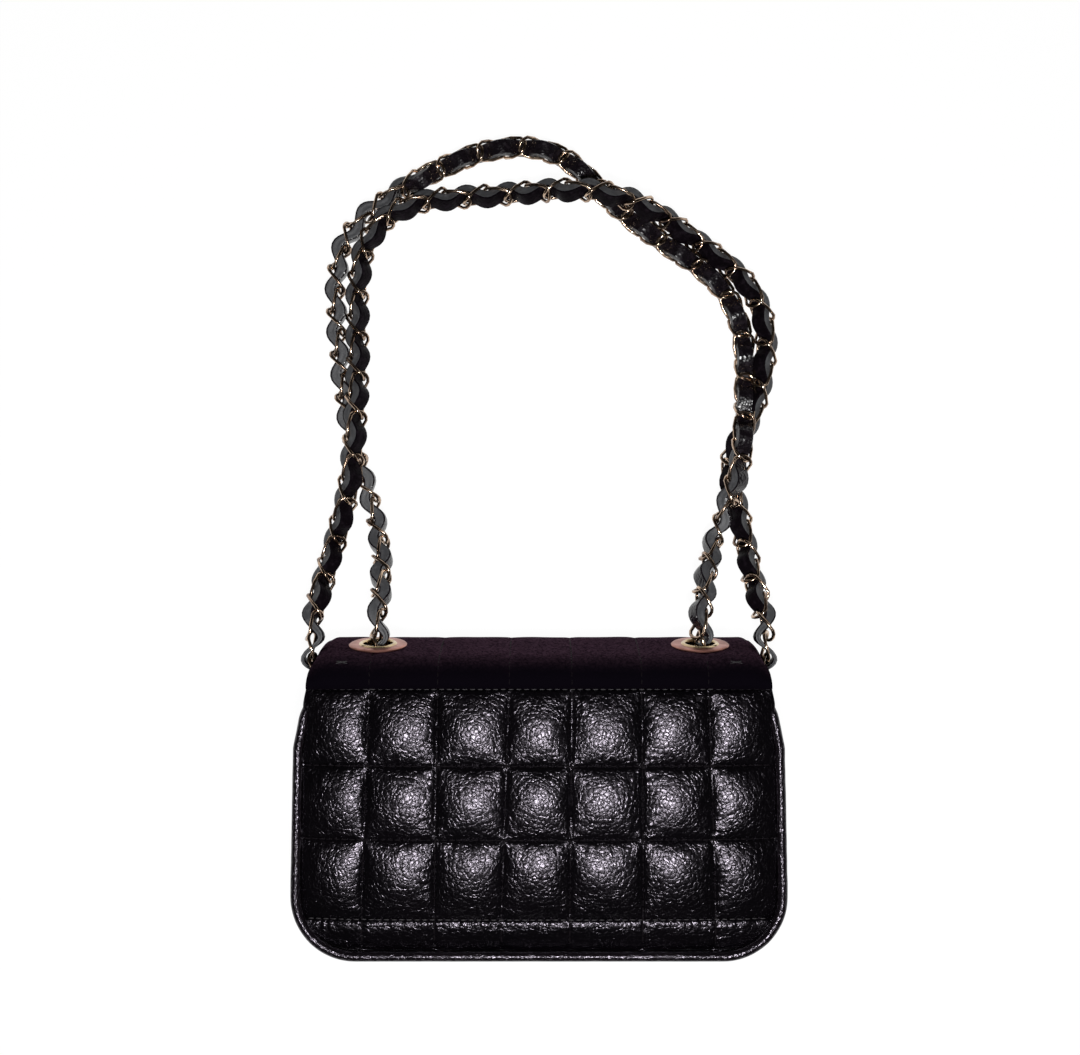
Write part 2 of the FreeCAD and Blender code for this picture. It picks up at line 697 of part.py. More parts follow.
def half_thickness(spot):
    loose = looseness(spot)
    return size("ribbon_pressed / 2") * (1 - loose) + size("ribbon_thickness / 2") * loose


def weave(spot):
    """How far the ribbon rises over the meeting of two links, whose ends tilt away from it."""
    return size("wire + weave_play") + half_thickness(spot) - LINK_HALF * math.sin(link_tilt(spot))


def link_solid():
    straight = LINK_HALF - LINK_SIDE
    slant = math.sqrt(0.5)
    shoulder = (straight + LINK_SIDE * slant, LINK_SIDE * slant)
    oval = [
        (LINK_HALF, 0), shoulder, (0, LINK_SIDE), (-shoulder[0], shoulder[1]),
        (-LINK_HALF, 0), (-shoulder[0], -shoulder[1]), (0, -LINK_SIDE), (shoulder[0], -shoulder[1]),
    ]
    centres = []
    for x, y in oval:
        turn = math.radians(size("link_twist")) * x / LINK_HALF
        centres.append(FreeCAD.Vector(x, y * math.cos(turn), y * math.sin(turn)))
    points = []
    for i, centre in enumerate(centres):
        along = (centres[(i + 1) % len(centres)] - centres[i - 1]).normalize()
        outward = centre - along * centre.dot(along)
        outward.normalize()
        square = along.cross(outward)
        for k in range(STEPS):
            turn = 2 * math.pi * k / STEPS
            points.append(centre + (outward * math.cos(turn) + square * math.sin(turn)) * size("wire / 2"))
    return facet_solid(points, ring_facets(len(centres), STEPS, True))


LINK = link_solid()


def placed_link(frames, number, sense):
    """A link in its place, its ends tilted away from the ribbon that passes over and under them."""
    spot, along, across, up = frames[number * STEPS]
    tilt = link_tilt(spot) * sense * (-1) ** (number + 1)
    along, up = (
        along * math.cos(tilt) + up * math.sin(tilt), up * math.cos(tilt) - along * math.sin(tilt))
    matrix = FreeCAD.Matrix(
        along.x, across.x, up.x, spot.x,
        along.y, across.y, up.y, spot.y,
        along.z, across.z, up.z, spot.z,
        0, 0, 0, 1)
    return LINK.transformed(matrix)


RIBBON_CORNERS = ((1, 1), (-1, 1), (-1, -1), (1, -1))


def ribbon_solid(frames, first, last, sense, trim):
    """Leather ribbon over one meeting of links and under the next, cut short at both ends."""
    half_width = size("ribbon_width / 2")
    pitch = (frames[1][0] - frames[0][0]).Length * STEPS
    points = []
    for i in range(first, last + 1):
        spot, along, across, up = frames[i]
        phase = math.pi * i / STEPS
        half_thick = half_thickness(spot)
        rise = sense * weave(spot) * math.sin(phase)
        slope = sense * weave(spot) * math.pi / pitch * math.cos(phase)
        forward = (along + up * slope).normalize()
        face = forward.cross(across)
        centre = spot + up * rise
        if i == first:
            centre += forward * trim
        if i == last:
            centre -= forward * trim
        for side, top in RIBBON_CORNERS:
            points.append(centre + across * (side * half_width) + face * (top * half_thick))
    return facet_solid(points, ring_facets(last - first + 1, len(RIBBON_CORNERS), False))


inner_wire = rounded_wire(inner_points, title="inner strap")
outer_wire = rounded_wire(outer_points, title="outer strap")
inner_frames = chain_frames(inner_wire, 1, inner_roll)
outer_frames = chain_frames(outer_wire, 1, outer_roll)
print("strap lengths %.1f %.1f" % (inner_wire.Length, outer_wire.Length))

root_links = []
root_ribbons = []
for name, frames, sense, ends in (("inner", inner_frames, 1, 0), ("outer", outer_frames, -1, 1)):
    links = len(frames) // STEPS
    far = [k for k in range(links + 1) if frames[k * STEPS][0].y > size("root_reach")]
    near = [k for k in range(ends, links + 1 - ends) if k < far[0] or k > far[-1]]
    root_links += [placed_link(frames, k, sense) for k in near]
    free = [placed_link(frames, k, sense) for k in range(far[0], far[-1] + 1)]
    add_part("strap_links_" + name, Part.makeCompound(free))
    cut_in = far[0] * STEPS - STEPS // 2
    cut_out = far[-1] * STEPS + STEPS // 2
    cut = size("ribbon_cut")
    add_part("strap_ribbon_" + name, ribbon_solid(frames, cut_in, cut_out, sense, cut))
    root_ribbons.append(ribbon_solid(frames, 0, cut_in, sense, cut))
    root_ribbons.append(ribbon_solid(frames, cut_out, len(frames) - 1, sense, cut))
add_part("root_links", Part.makeCompound(root_links))
add_part("root_ribbons", Part.makeCompound(root_ribbons))
doc.recompute()

# Check every object, then write each sub-part under its own name
for item in doc.Objects:
    if "Invalid" in item.State or "Error" in item.State:
        raise RuntimeError(item.Label + " failed: " + ", ".join(item.State))

parts = [o for o in doc.Objects if o.TypeId in ("PartDesign::Body", "Part::Feature")]
for item in parts:
    if item.Shape.isNull() or not item.Shape.isValid():
        raise RuntimeError(item.Label + " has no valid shape")

os.makedirs("parts", exist_ok=True)
for item in parts:
    item.Shape.exportStep("parts/%s.step" % item.Label)
print(len(parts), "sub-parts written")
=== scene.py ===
import math

import bpy
import numpy as np
from mathutils import Matrix, Vector, noise


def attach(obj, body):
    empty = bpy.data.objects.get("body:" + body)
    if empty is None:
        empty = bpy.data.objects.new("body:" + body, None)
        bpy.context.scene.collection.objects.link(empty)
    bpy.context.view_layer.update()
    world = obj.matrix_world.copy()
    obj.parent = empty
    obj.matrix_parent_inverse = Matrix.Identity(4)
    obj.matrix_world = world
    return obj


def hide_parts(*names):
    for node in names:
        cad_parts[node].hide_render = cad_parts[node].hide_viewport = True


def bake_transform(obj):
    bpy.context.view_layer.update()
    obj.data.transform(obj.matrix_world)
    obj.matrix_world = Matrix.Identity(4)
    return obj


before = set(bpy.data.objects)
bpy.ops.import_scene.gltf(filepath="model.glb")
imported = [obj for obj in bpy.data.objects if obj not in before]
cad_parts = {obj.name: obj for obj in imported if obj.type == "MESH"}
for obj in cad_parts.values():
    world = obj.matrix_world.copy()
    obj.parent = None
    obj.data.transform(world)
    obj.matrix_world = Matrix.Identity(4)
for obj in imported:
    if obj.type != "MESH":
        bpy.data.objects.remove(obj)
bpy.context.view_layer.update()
MM = 0.001

# View: the bag lies on its front on a pale table, and the camera looks straight down on its
# quilted back and on the strap laid out above it.
CAMERA_PLACE = (0.0004, 0.109, 0.702)
CAMERA_SENSOR = 36.0
CAMERA_LENS = 53.9
CAMERA_NEAR = 0.01

camera_data = bpy.data.cameras.new("overhead_camera")
camera_data.sensor_width = CAMERA_SENSOR
camera_data.lens = CAMERA_LENS
camera_data.clip_start = CAMERA_NEAR
camera = bpy.data.objects.new("overhead_camera", camera_data)
camera.location = CAMERA_PLACE
bpy.context.scene.collection.objects.link(camera)
bpy.context.scene.camera = camera
bpy.context.scene.view_settings.view_transform = "Standard"


# Strap chain: one closed loop of pale gold curb links. It goes in through each eyelet, turns round
# under the folded top and comes out past the top's side. Two stretches of it lie on the table.
def deselect():
    """Leave edit mode and select nothing."""
    if bpy.context.object and bpy.context.object.mode != "OBJECT":
        bpy.ops.object.mode_set(mode="OBJECT")
    bpy.ops.object.select_all(action="DESELECT")


def activate(piece):
    """Make one piece the only selected one."""
    deselect()
    piece.select_set(True)
    bpy.context.view_layer.objects.active = piece


class Paint:
    """A value in a material's node tree. Sums of such values become Math nodes."""

    def __init__(self, tree, socket=None):
        self.tree = tree
        self.socket = socket

    def node(self, kind, settings=None, inputs=None, output=0):
        """Any node: its settings first, then its sockets' values or links."""
        made = self.tree.nodes.new(kind)
        for name, value in (settings or {}).items():
            setattr(made, name, value)
        for key, value in (inputs or {}).items():
            if isinstance(value, Paint):
                self.tree.links.new(value.socket, made.inputs[key])
            else:
                made.inputs[key].default_value = value
        return Paint(self.tree, made.outputs[output])

    def sum(self, operation, *values):
        """A Math node on these values."""
        return self.node("ShaderNodeMath", {"operation": operation}, dict(enumerate(values)))

    def __add__(self, other):
        return self.sum("ADD", self, other)

    def __sub__(self, other):
        return self.sum("SUBTRACT", self, other)

    def __rsub__(self, other):
        return self.sum("SUBTRACT", other, self)

    def __mul__(self, other):
        return self.sum("MULTIPLY", self, other)

    __radd__ = __add__
    __rmul__ = __mul__

    def mix(self, low, high):
        """A colour between two, by this value."""
        inputs = {0: self, 6: low, 7: high}
        return self.node("ShaderNodeMix", {"data_type": "RGBA"}, inputs, 2)

    def between(self, low, high):
        """0 where this value is below low, 1 where it is above high, smooth between."""
        settings = {"interpolation_type": "SMOOTHSTEP"}
        return self.node("ShaderNodeMapRange", settings, {0: self, 1: low, 2: high})


def new_finish(name):
    """A material with a Principled shader, and a start for its expressions."""
    finish = bpy.data.materials.new(name)
    finish.use_nodes = True
    return finish, Paint(finish.node_tree)


def principled(finish):
    """A material's shader."""
    return finish.node_tree.nodes["Principled BSDF"]


def feed(finish, **sockets):
    """Values or links into the shader's sockets, whose names have _ for a space."""
    for name, value in sockets.items():
        socket = principled(finish).inputs[name.replace("_", " ")]
        if isinstance(value, Paint):
            finish.node_tree.links.new(value.socket, socket)
        else:
            socket.default_value = value


def bump(start, height, depth):
    """A relief of that depth in metres."""
    inputs = {"Strength": 1.0, "Distance": depth, "Height": height}
    return start.node("ShaderNodeBump", None, inputs)


def object_place(start):
    """Place on the piece, in metres."""
    return start.node("ShaderNodeTexCoord", None, None, 3)


def speckle(start, place, scale, detail, output=0):
    """Cloudy noise, as a number (output 0) or as a colour (output 1)."""
    inputs = {"Vector": place, "Scale": scale, "Detail": detail}
    return start.node("ShaderNodeTexNoise", None, inputs, output)


def dress(piece, *finishes):
    """Give a piece these finishes and no others."""
    piece.data.materials.clear()
    for finish in finishes:
        piece.data.materials.append(finish)


def plated_metal(name, bright, dull, roughness):
    """Plated metal with soft wear: duller in patches, with fine rubbed marks."""
    finish, start = new_finish(name)
    place = object_place(start)
    patches = speckle(start, place, 160.0, 4.0).between(0.35, 0.7)
    marks = speckle(start, place, 2600.0, 2.0)
    feed(
        finish,
        Base_Color=patches.mix((*bright, 1), (*dull, 1)),
        Metallic=1.0,
        Roughness=roughness + 0.10 * patches + 0.06 * marks,
        Normal=bump(start, marks, 0.00002),
    )
    return finish


chain_gold = plated_metal("chain_gold", (0.58, 0.43, 0.315), (0.19, 0.125, 0.09), 0.11)

WIRE = 0.74 * MM
LINK_HALF = 6.5 * MM
LINK_SIDE = 4.2 * MM
LINK_TWIST = math.radians(-26)
LINK_TILT = math.radians(27)
STEPS = 8
# How the chain lies on the table, in degrees about its line
ON_EDGE = 90.0
PAST_EDGE = 24.0
LEAN = 46.0
LEAN_AT_TOP = 32.0
LEAN_AT_LEFT = 48.0

LEFT_EYELET = (-0.0667, 0.05997, 0.0318)
RIGHT_EYELET = (0.0667, 0.05997, 0.0318)
INNER_ROUTE = [
    LEFT_EYELET, (-0.0667, 0.07179, 0.03388),
    (-0.066, 0.085, 0.025), (-0.0672, 0.099, 0.012), (-0.0705, 0.114, 0.0062),
    (-0.0755, 0.1315, 0.0056), (-0.081, 0.148, 0.0056), (-0.0842, 0.167, 0.0056),
    (-0.0864, 0.187, 0.0056), (-0.0879, 0.208, 0.0056), (-0.0864, 0.227, 0.0056),
    (-0.0786, 0.2405, 0.0056), (-0.064, 0.2516, 0.0056), (-0.045, 0.2626, 0.0056),
    (-0.024, 0.2715, 0.0056), (-0.003, 0.2735, 0.0056), (0.013, 0.2675, 0.0056),
    (0.025, 0.2555, 0.0056), (0.037, 0.2435, 0.0056), (0.056, 0.2298, 0.0056),
    (0.069, 0.2215, 0.0056), (0.079, 0.212, 0.0056), (0.0848, 0.202, 0.0056),
    (0.0883, 0.189, 0.0056), (0.0888, 0.175, 0.0056), (0.0884, 0.165, 0.0066),
    (0.0877, 0.156, 0.0105), (0.0868, 0.1455, 0.0152), (0.085, 0.1345, 0.0158),
    (0.0818, 0.1235, 0.0148), (0.0787, 0.115, 0.0122), (0.0757, 0.1065, 0.0112),
    (0.0728, 0.098, 0.0138), (0.0693, 0.0855, 0.0255),
    (0.0667, 0.07179, 0.03388), RIGHT_EYELET,
]
LOOP_ROUTE = [
    (0.0667, 0.0545, 0.0308), (0.0685, 0.0471, 0.0295), (0.0735, 0.0417, 0.0285),
    (0.0804, 0.0398, 0.0281), (0.0873, 0.0417, 0.0285), (0.0922, 0.0471, 0.0295),
    (0.0938, 0.0545, 0.0308), (0.094, 0.063, 0.0315),
]
OUTER_ROUTE = [RIGHT_EYELET] + LOOP_ROUTE + [
    (0.0937, 0.071, 0.0292), (0.0923, 0.0785, 0.024), (0.0907, 0.0865, 0.0172),
    (0.0895, 0.095, 0.0112), (0.0881, 0.104, 0.0075), (0.0866, 0.113, 0.006),
    (0.0842, 0.1215, 0.0058), (0.0822, 0.13, 0.0058), (0.0828, 0.139, 0.0058),
    (0.0868, 0.148, 0.0058), (0.0915, 0.157, 0.0058), (0.0948, 0.1675, 0.0058),
    (0.0971, 0.179, 0.0058), (0.098, 0.191, 0.0058), (0.0957, 0.203, 0.0058),
    (0.0902, 0.2135, 0.0058), (0.0812, 0.2222, 0.0058), (0.07, 0.2305, 0.0058),
    (0.0585, 0.2388, 0.0078), (0.045, 0.246, 0.0138), (0.031, 0.2505, 0.0178),
    (0.016, 0.2522, 0.0178), (0.001, 0.2526, 0.0118), (-0.014, 0.2522, 0.0066),
    (-0.033, 0.251, 0.0064), (-0.051, 0.249, 0.0088), (-0.066, 0.242, 0.0092),
    (-0.0758, 0.229, 0.0066), (-0.0783, 0.211, 0.0058), (-0.0781, 0.192, 0.006),
    (-0.0777, 0.174, 0.009), (-0.0777, 0.16, 0.015), (-0.0782, 0.146, 0.0178),
    (-0.0796, 0.131, 0.0178), (-0.0822, 0.119, 0.0155), (-0.0858, 0.1065, 0.0125),
    (-0.0892, 0.0945, 0.015), (-0.0918, 0.083, 0.022), (-0.0936, 0.072, 0.0295),
] + [(-x, y, z) for x, y, z in reversed(LOOP_ROUTE)] + [LEFT_EYELET]


def smooth_line(points, resolution):
    """Points along the smooth line that a route's control points give."""
    curve = bpy.data.curves.new("route", "CURVE")
    curve.dimensions = "3D"
    curve.resolution_u = resolution
    spline = curve.splines.new("NURBS")
    spline.points.add(len(points) - 1)
    for point, place in zip(spline.points, points):
        point.co = (*place, 1)
    spline.order_u = 3
    spline.use_endpoint_u = True
    holder = bpy.data.objects.new("route", curve)
    mesh = bpy.data.meshes.new_from_object(holder)
    line = np.array([v.co for v in mesh.vertices])
    bpy.data.meshes.remove(mesh)
    bpy.data.curves.remove(curve)
    return line


def distances(line):
    """Distance of each point of a line from its start, along the line."""
    return np.concatenate([[0], np.cumsum(np.linalg.norm(np.diff(line, axis=0), axis=1))])


def place_at(line, along, at):
    """Place on a line where the measure along it has a value."""
    return np.stack([np.interp(at, along, row) for row in line.T], axis=-1)


def strap_frames(line, links, roll):
    """Place, direction, width and thickness of the chain, in equal steps along a line."""
    along = distances(line)
    at = np.linspace(0, along[-1], links * STEPS + 1)
    spots = place_at(line, along, at)
    frames = []
    for i, spot in enumerate(spots):
        ahead = spots[min(i + 2, len(spots) - 1)] - spots[max(i - 2, 0)]
        forward = Vector(ahead).normalized()
        flat = Vector((0, 0, 1)).cross(forward).normalized()
        turn = math.radians(roll(at[i], spot[1]))
        across = flat * math.cos(turn) + forward.cross(flat) * math.sin(turn)
        frames.append((Vector(spot), forward, across, forward.cross(across)))
    return frames


def ease(value, low, high):
    """0 below low, 1 above high, smooth between."""
    share = max(0.0, min(1.0, (value - low) / (high - low)))
    return share * share * (3 - 2 * share)


def inner_roll(station, y):
    """On its edge, but flat along the middle of the stretch, then turned on round past its edge."""
    edge = 1 - ease(station, 0.195, 0.245) - ease(station, 0.437, 0.495)
    return ON_EDGE * edge - PAST_EDGE * ease(station, 0.487, 0.53)


def outer_roll(station, y):
    """On its edge, leaning so that its inner face looks up where it lies on the table."""
    lean = LEAN + (LEAN_AT_TOP - LEAN) * ease(station, 0.25, 0.29)
    lean += (LEAN_AT_LEFT - LEAN_AT_TOP) * ease(station, 0.47, 0.53)
    return ON_EDGE + lean * ease(y, 0.064, 0.084)


def looseness(y):
    """0 in the tight loops under the folded top, and 1 outside."""
    return ease(y, 0.058, 0.074)


def new_link():
    """One link: a ring drawn out into an oval, and twisted about its length."""
    deselect()
    bpy.ops.mesh.primitive_torus_add(
        major_segments=16, minor_segments=6, major_radius=LINK_SIDE, minor_radius=WIRE)
    link = bpy.context.object
    straight = LINK_HALF - LINK_SIDE
    for vertex in link.data.vertices:
        x, y, z = vertex.co
        x += math.copysign(straight, x) if abs(x) > 1e-6 else 0.0
        turn = LINK_TWIST * x / LINK_HALF
        vertex.co = (
            x,
            y * math.cos(turn) - z * math.sin(turn),
            y * math.sin(turn) + z * math.cos(turn),
        )
    bpy.ops.object.shade_smooth()
    return link


def new_piece(name, points, faces):
    """A piece made from its points and faces, selected."""
    mesh = bpy.data.meshes.new(name)
    mesh.from_pydata(points, [], faces)
    piece = bpy.data.objects.new(name, mesh)
    bpy.context.scene.collection.objects.link(piece)
    activate(piece)
    return piece


def repeated(name, pattern, places):
    """One piece made of a copy of the pattern at each place."""
    corners = np.array([v.co for v in pattern.data.vertices])
    sides = [tuple(p.vertices) for p in pattern.data.polygons]
    points, faces = [], []
    for place in places:
        turn = np.array(place.to_3x3())
        first = len(points)
        points += (corners @ turn.T + np.array(place.translation)).tolist()
        faces += [tuple(first + k for k in side) for side in sides]
    piece = new_piece(name, points, faces)
    bpy.ops.object.shade_smooth()
    return piece


def set_in(spot, forward, across, up):
    """The place of a copy whose length, width and height run along three directions."""
    place = Matrix((forward, across, up)).transposed().to_4x4()
    place.translation = spot
    return place


def chain_of_links(name, pattern, frames, sense, ends):
    """A copy of the link at each pitch, its ends tilted away from the ribbon woven past them."""
    places = []
    for number in range(ends, len(frames) // STEPS + 1 - ends):
        spot, forward, across, up = frames[number * STEPS]
        tilt = LINK_TILT * looseness(spot.y) * sense * (-1) ** (number + 1)
        ahead = forward * math.cos(tilt) + up * math.sin(tilt)
        places.append(set_in(spot, ahead, across, ahead.cross(across)))
    return repeated(name, pattern, places)


ROUTE_RESOLUTION = 24
INNER_LINKS = 59
OUTER_LINKS = 71
inner_line = smooth_line(INNER_ROUTE, ROUTE_RESOLUTION)
outer_line = smooth_line(OUTER_ROUTE, ROUTE_RESOLUTION)
inner_frames = strap_frames(inner_line, INNER_LINKS, inner_roll)
outer_frames = strap_frames(outer_line, OUTER_LINKS, outer_roll)
one_link = new_link()
links_inner = chain_of_links("links_inner", one_link, inner_frames, 1, 0)
links_outer = chain_of_links("links_outer", one_link, outer_frames, -1, 1)
bpy.data.objects.remove(one_link)
dress(links_inner, chain_gold)
dress(links_outer, chain_gold)

# Ribbon: a folded strip of black leather, woven over one meeting of links and under the next.
# Its faces are black, and glossier on the inner stretch. Its cut edges are painted grey.
RIBBON_HALF = 3.3 * MM
RIBBON_THIN = 2.0 * MM
RIBBON_THICK = 2.45 * MM
RIBBON_PRESSED = 0.8 * MM
WEAVE = 2.15 * MM
WEAVE_PRESSED = 4.1 * MM


def ribbon_finish(name, colour, lighter_tone, roughness, grain, relief, gloss):
    """Smooth leather with a fine grain, paler where the links rub it."""
    finish, start = new_finish(name)
    place = object_place(start)
    rub = speckle(start, place, 420.0, 4.0).between(0.45, 0.75)
    pores = start.node("ShaderNodeTexVoronoi", None, {"Vector": place, "Scale": grain})
    feed(
        finish,
        Base_Color=rub.mix((*colour, 1), (*lighter_tone, 1)),
        Roughness=roughness + 0.15 * rub,
        Specular_IOR_Level=gloss,
        Normal=bump(start, pores, relief),
    )
    return finish


ribbon_gloss = ribbon_finish(
    "ribbon_gloss", (0.006, 0.004, 0.006), (0.016, 0.011, 0.016), 0.25, 900.0, 0.00018, 0.45)
ribbon_dull = ribbon_finish(
    "ribbon_dull", (0.0045, 0.003, 0.0045), (0.013, 0.009, 0.013), 0.40, 900.0, 0.00012, 0.03)
ribbon_edge = ribbon_finish(
    "ribbon_edge", (0.064, 0.065, 0.070), (0.108, 0.109, 0.116), 0.5, 2200.0, 0.00006, 0.5)

# Corners of the strip's section, as shares of its half width and half thickness
RIBBON_SECTION = [
    (0.93, 0.0), (1.0, 0.30), (1.0, 0.72), (0.90, 1.0), (0.3, 1.06), (-0.3, 1.06), (-0.90, 1.0),
    (-1.0, 0.72), (-1.0, 0.30), (-0.93, 0.0), (-1.0, -0.30), (-1.0, -0.72), (-0.90, -1.0),
    (-0.3, -1.06), (0.3, -1.06), (0.90, -1.0), (1.0, -0.72), (1.0, -0.30),
]
FACE_SIDES = (2, 3, 4, 5, 6, 11, 12, 13, 14, 15)


def turn_outward(piece):
    """Turn all faces of a piece to its outside."""
    activate(piece)
    bpy.ops.object.mode_set(mode="EDIT")
    bpy.ops.mesh.select_all(action="SELECT")
    bpy.ops.mesh.normals_make_consistent(inside=False)
    bpy.ops.object.mode_set(mode="OBJECT")


def woven_ribbon(name, frames, sense, face_finish):
    """A strip through the links, rising and falling by one wave every two links."""
    pitch = (frames[1][0] - frames[0][0]).length * STEPS
    points, faces = [], []
    sides = len(RIBBON_SECTION)
    for i, (spot, forward, across, up) in enumerate(frames):
        phase = math.pi * i / STEPS
        loose = looseness(spot.y)
        weave = sense * (WEAVE_PRESSED + (WEAVE - WEAVE_PRESSED) * loose)
        rise = weave * math.sin(phase)
        slope = weave * math.pi / pitch * math.cos(phase)
        along = (forward + up * slope).normalized()
        face = along.cross(across)
        thick = RIBBON_THIN + (RIBBON_THICK - RIBBON_THIN) * math.sin(phase) ** 2
        thick = RIBBON_PRESSED + (thick - RIBBON_PRESSED) * loose
        for side, top in RIBBON_SECTION:
            points.append(spot + up * rise + across * side * RIBBON_HALF + face * top * thick)
    last = (len(frames) - 1) * sides
    for first in range(0, last, sides):
        for k in range(sides):
            n = (k + 1) % sides
            faces.append((first + k, first + n, first + sides + n, first + sides + k))
    faces.append(tuple(range(sides))[::-1])
    faces.append(tuple(range(last, last + sides)))
    piece = new_piece(name, points, faces)
    dress(piece, face_finish, ribbon_edge)
    for number, polygon in enumerate(piece.data.polygons):
        polygon.material_index = 0 if number % sides in FACE_SIDES else 1
    turn_outward(piece)
    bpy.ops.object.shade_smooth_by_angle(angle=math.radians(50))
    return piece


ribbon_inner = woven_ribbon("ribbon_inner", inner_frames, 1, ribbon_gloss)
ribbon_outer = woven_ribbon("ribbon_outer", outer_frames, -1, ribbon_dull)

for ribbon, links, line, nodes, exit_place in (
    (ribbon_inner, links_inner, inner_line, ("strap_ribbon_inner", "root_ribbons"), LEFT_EYELET),
    (ribbon_outer, links_outer, outer_line, ("strap_ribbon_outer", "root_ribbons"), RIGHT_EYELET),
):
    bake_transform(ribbon)
    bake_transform(links)
    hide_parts(*nodes)
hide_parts("strap_links_inner", "root_links")
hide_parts("strap_links_outer", "root_links")


# Quilted back: glossy pebbled leather over wadding, sewn through in seven columns and three rows,
# with a flat border below the lowest seam. It is crowned, because the bag behind it is full.
PEBBLES = 540.0
GRAIN_DEPTH = 0.000040


def pebbles(start, place):
    """Distances from the creases and from the middles of the grain's pebbles, and its wrinkles."""
    drift = speckle(start, place, 140.0, 3.0, 1)
    shifted = start.node(
        "ShaderNodeVectorMath", {"operation": "MULTIPLY_ADD"},
        {0: drift, 1: (0.005, 0.005, 0.005), 2: place})
    cells = {"Vector": shifted, "Scale": PEBBLES}
    edges = start.node("ShaderNodeTexVoronoi", {"feature": "DISTANCE_TO_EDGE"}, cells)
    domes = start.node("ShaderNodeTexVoronoi", None, cells)
    wrinkles = start.sum("ABSOLUTE", speckle(start, shifted, 320.0, 3.0) * 2 - 1)
    return edges, domes, wrinkles


def pebbled_leather(name, colour, roughness, gloss=0.5):
    """Leather with a pebbled grain, creases between the pebbles, and fine pores."""
    finish, start = new_finish(name)
    place = object_place(start)
    edges, domes, wrinkles = pebbles(start, place)
    pores = speckle(start, place, 2400.0, 2.0)
    relief = 1.5 * edges.between(0.0, 0.20) - 1.5 * domes * domes
    relief = relief + 0.9 * wrinkles.between(0.0, 0.15) + 0.04 * pores
    feed(
        finish,
        Base_Color=colour(start, place, edges, wrinkles),
        Roughness=roughness + 0.08 * pores,
        Specular_IOR_Level=gloss,
        Specular_Tint=(0.95, 0.86, 1.0, 1),
        Normal=bump(start, relief, GRAIN_DEPTH),
    )
    return finish


def clouded(deep, tint):
    """A colour for leather that drifts between two in broad patches."""
    def colour(start, place, edges, wrinkles):
        patches = speckle(start, place, 35.0, 3.0).between(0.3, 0.7)
        return patches.mix((*deep, 1), (*tint, 1))

    return colour


back_leather = pebbled_leather(
    "back_leather", clouded((0.0005, 0.0003, 0.0007), (0.0012, 0.0007, 0.0014)), 0.22)

SEAM_Y = 44.5
ROW_SEAMS = [SEAM_Y, 14.1, -15.2, -47.4]
PANEL_BASE = -60.6
# Each column seam's place at the top seam and at the lowest seam: they fan out a little
COLUMN_SEAMS = [
    (-67.6, -70.8), (-40.3, -41.8), (-11.8, -15.0), (13.1, 12.3), (40.9, 41.5), (67.5, 70.6)]
PILLOW_HEIGHT = 2.9
PILLOW_ROUND = 0.8
PILLOW_UNEVEN = 0.14
CROWN = 3.6
CROWN_Y = -6.0
CROWN_HALF_X = 98.0
CROWN_HALF_Y = 58.0
SIDE_DROP = 2.4
BASE_DROP = 2.0
THREAD_SINK = 0.5
BORDER_RISE = 1.3
BORDER_DROP = 3.5
BACK_PUCKER = 0.46
PUCKER_REACH = 4.5
PUCKER_PITCH = 1.6
BACK_SEAM_Z = 57.4
BACK_FLOOR_Z = 52.7
# The bag's outline: widest at its base, a little narrower at the waist, drawn in to the top seam
BASE_Y = -64.6
BASE_RADIUS = 26.0
BASE_FLARE = 1.6
WAIST_Y = 21.0
WAIST_HALF = 98.4
TOP_TAPER = 4.8


def half_width(y, inset):
    """Half the bag's width at a height, in millimetres, drawn in by an inset."""
    if y > WAIST_Y:
        half = WAIST_HALF - TOP_TAPER * (y - WAIST_Y) / (SEAM_Y - WAIST_Y)
    else:
        half = WAIST_HALF + BASE_FLARE * (WAIST_Y - y) / (WAIST_Y - BASE_Y)
    radius = BASE_RADIUS - inset
    rise = y - (BASE_Y + inset)
    if rise < radius:
        drop = radius - max(rise, 0.0)
        half -= radius - math.sqrt(max(radius * radius - drop * drop, 0.0))
    return half - inset


def column_seams(y):
    """Places of the column seams across the bag at a height."""
    share = (SEAM_Y - y) / (SEAM_Y - ROW_SEAMS[-1])
    return [top + (low - top) * share for top, low in COLUMN_SEAMS]


def swell(value, bounds):
    """Height of a sewn pillow between the two seams on either side, from 0 to 1."""
    for low, high in zip(bounds, bounds[1:]):
        if low <= value <= high:
            share = (2 * value - low - high) / (high - low)
            return max(0.0, 1 - share * share) ** PILLOW_ROUND
    return 0.0


def pucker(x, y, columns, rows):
    """Small folds where the thread gathers the leather, square to each seam, in millimetres."""
    total = 0.0
    for place in columns:
        fade = math.exp(-abs(x - place) / PUCKER_REACH)
        total += fade * noise.noise(Vector((place, y / PUCKER_PITCH, 0.2 * x)))
    for place in rows:
        fade = math.exp(-abs(y - place) / PUCKER_REACH)
        total += fade * noise.noise(Vector((x / PUCKER_PITCH, 0.2 * y, place)))
    return total


def slack(x, y):
    """Soft unevenness of the wadding, in millimetres."""
    return noise.noise(Vector((x / 17.0, y / 17.0, 3.0)))


def sheet_grid(name, columns, rows, place):
    """A grid whose points, each from -1 to 1 across and along, are laid out by a function."""
    deselect()
    bpy.ops.mesh.primitive_grid_add(x_subdivisions=columns, y_subdivisions=rows, size=2)
    piece = bpy.context.object
    piece.name = name
    for vertex in piece.data.vertices:
        vertex.co = Vector(place(vertex.co.x, vertex.co.y)) * MM
    bpy.ops.object.shade_smooth()
    return piece


def panel_half(y):
    """Half the back panel's width: inside the piping, but over it towards the top."""
    return half_width(y, 4.0 - 3.6 * ease(y, 25.0, 40.0))


